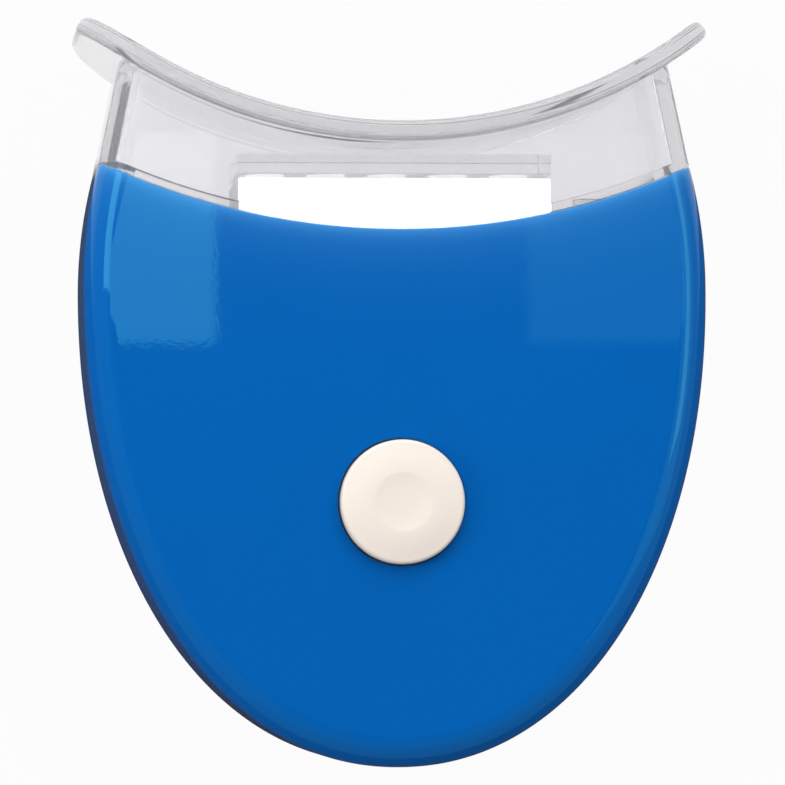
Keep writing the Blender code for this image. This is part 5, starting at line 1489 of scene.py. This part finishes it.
def make_stage():
    """The floor, the world, the soft panels and the camera at the photograph's angle."""
    settings = bpy.context.scene.lamp_stage
    scene = bpy.context.scene
    bm = bmesh.new()
    bmesh.ops.create_grid(bm, x_segments=2, y_segments=2, size=settings.floor_side / 2)
    floor = object_from_bmesh("floor", bm)
    floor.data.transform(Matrix.Translation((0.0, 0.0, cad_low.z)))
    floor.data.materials.append(floor_material())
    studio_world()

    target = Vector((0.0, 0.0, front_z))
    up = (0.0, 1.0, 0.0)
    # Each panel's name, place, target, up, width, height and radiance
    panel_light("upper_left_panel", (-0.173, 0.101, 1.0), (-0.173, 0.101, 0.0), up, 0.454, 0.068, 2.3)
    panel_light("upper_right_panel", (0.36, 0.101, 1.0), (0.36, 0.101, 0.0), up, 0.41, 0.068, 0.7)
    panel_light("left_strip", (-0.55, 0.22, 0.84), target, up, 0.4, 0.28, 4.0)
    panel_light("right_strip", (0.67, 0.15, 0.74), target, up, 0.28, 0.45, 2.8)
    panel_light("right_glow", (0.67, 0.15, 0.74), target, up, 0.75, 0.85, 0.6)
    panel_light("top_strip", (0.0, 0.95, 0.42), target, (0.0, 0.0, 1.0), 1.0, 0.75, 2.0)
    panel_light("overhead", (0.0, 0.18, 0.26), target, up, 0.35, 0.2, settings.key_level, False)
    panel_light("left_fill", (-0.85, 0.05, 0.3), target, up, 0.6, 0.4, 4.6, False)

    camera = bpy.data.cameras.new("camera")
    camera.sensor_width = 36.0
    camera.lens = settings.focal
    camera.clip_start = 0.01
    camera.clip_end = 50.0
    holder = new_object("camera", camera)
    place = Vector((-settings.camera_left, -settings.camera_down, parting_z + settings.camera_height))
    aim = Vector((settings.aim_right, settings.aim_up, parting_z))
    up = Vector((math.sin(settings.camera_roll), math.cos(settings.camera_roll), 0.0))
    holder.matrix_world = looking_at(place, aim, up)
    scene.camera = holder
    scene.view_settings.view_transform = "Standard"


class LAMP_OT_front_casing(bpy.types.Operator):
    """Builds the blue front half of the casing"""

    bl_idname = "lamp.front_casing"
    bl_label = "Front casing"

    def execute(self, context):
        make_front_shell()
        return {"FINISHED"}


class LAMP_OT_back_casing(bpy.types.Operator):
    """Builds the blue rear half of the casing"""

    bl_idname = "lamp.back_casing"
    bl_label = "Back casing"

    def execute(self, context):
        make_back_shell()
        return {"FINISHED"}


class LAMP_OT_battery_cover(bpy.types.Operator):
    """Builds the sliding battery cover"""

    bl_idname = "lamp.battery_cover"
    bl_label = "Battery cover"

    def execute(self, context):
        make_battery_door()
        return {"FINISHED"}


class LAMP_OT_mouthpiece(bpy.types.Operator):
    """Builds the clear duct with its lip flange"""

    bl_idname = "lamp.mouthpiece"
    bl_label = "Clear mouthpiece"

    def execute(self, context):
        make_mouthpiece()
        return {"FINISHED"}


class LAMP_OT_push_button(bpy.types.Operator):
    """Builds the push button's cap"""

    bl_idname = "lamp.push_button"
    bl_label = "Push button"

    def execute(self, context):
        make_button()
        return {"FINISHED"}


class LAMP_OT_light_engine(bpy.types.Operator):
    """Builds the row of lamps, their reflector and the lens plate"""

    bl_idname = "lamp.light_engine"
    bl_label = "Light engine"

    def execute(self, context):
        make_lamps()
        make_reflector()
        return {"FINISHED"}


class LAMP_OT_screws(bpy.types.Operator):
    """Builds the case screws and the board screws"""

    bl_idname = "lamp.screws"
    bl_label = "Screws"

    def execute(self, context):
        make_screws()
        return {"FINISHED"}


class LAMP_OT_cells(bpy.types.Operator):
    """Builds the two coin cells"""

    bl_idname = "lamp.cells"
    bl_label = "Coin cells"

    def execute(self, context):
        make_cells()
        return {"FINISHED"}


class LAMP_OT_carried_over(bpy.types.Operator):
    """Gives the boards, switch, contacts, resistor and leads their finish and builds the switch's spring"""

    bl_idname = "lamp.carried_over"
    bl_label = "Boards, switch and leads"

    def execute(self, context):
        dress_nodes()
        make_switch_spring()
        return {"FINISHED"}


class LAMP_OT_stage(bpy.types.Operator):
    """Sets up the floor, the soft light and the camera"""

    bl_idname = "lamp.stage"
    bl_label = "Stage"

    def execute(self, context):
        make_stage()
        return {"FINISHED"}


class LAMP_PT_panel(bpy.types.Panel):
    """Sizes, colours and pieces of the whitening lamp"""

    bl_label = "Whitening Lamp"
    bl_idname = "LAMP_PT_panel"
    bl_space_type = "VIEW_3D"
    bl_region_type = "UI"
    bl_category = "Whitening Lamp"

    def draw(self, context):
        layout = self.layout
        for operator in OPERATORS:
            layout.operator(operator.bl_idname)
        for name, group in GROUPS.items():
            box = layout.box()
            box.label(text=group.__doc__)
            for prop in group.__annotations__:
                box.prop(getattr(context.scene, name), prop)


GROUPS = {
    "lamp_casing": CasingSizes,
    "lamp_mouthpiece": MouthpieceSizes,
    "lamp_button": ButtonSizes,
    "lamp_light": LightSizes,
    "lamp_fasteners": FastenerSizes,
    "lamp_stage": StageSettings,
}
OPERATORS = (
    LAMP_OT_front_casing,
    LAMP_OT_back_casing,
    LAMP_OT_battery_cover,
    LAMP_OT_mouthpiece,
    LAMP_OT_push_button,
    LAMP_OT_light_engine,
    LAMP_OT_screws,
    LAMP_OT_cells,
    LAMP_OT_carried_over,
    LAMP_OT_stage,
)


def register():
    for group in GROUPS.values():
        bpy.utils.register_class(group)
    for name, group in GROUPS.items():
        setattr(bpy.types.Scene, name, PointerProperty(type=group))
    for operator in OPERATORS:
        bpy.utils.register_class(operator)
    bpy.utils.register_class(LAMP_PT_panel)


def unregister():
    bpy.utils.unregister_class(LAMP_PT_panel)
    for operator in reversed(OPERATORS):
        bpy.utils.unregister_class(operator)
    for name in GROUPS:
        delattr(bpy.types.Scene, name)
    for group in reversed(GROUPS.values()):
        bpy.utils.unregister_class(group)


def main():
    register()
    bpy.ops.lamp.front_casing()
    bpy.ops.lamp.back_casing()
    bpy.ops.lamp.battery_cover()
    bpy.ops.lamp.mouthpiece()
    bpy.ops.lamp.push_button()
    bpy.ops.lamp.light_engine()
    bpy.ops.lamp.screws()
    bpy.ops.lamp.cells()
    bpy.ops.lamp.carried_over()
    bpy.ops.lamp.stage()


if __name__ == "__main__":
    main()
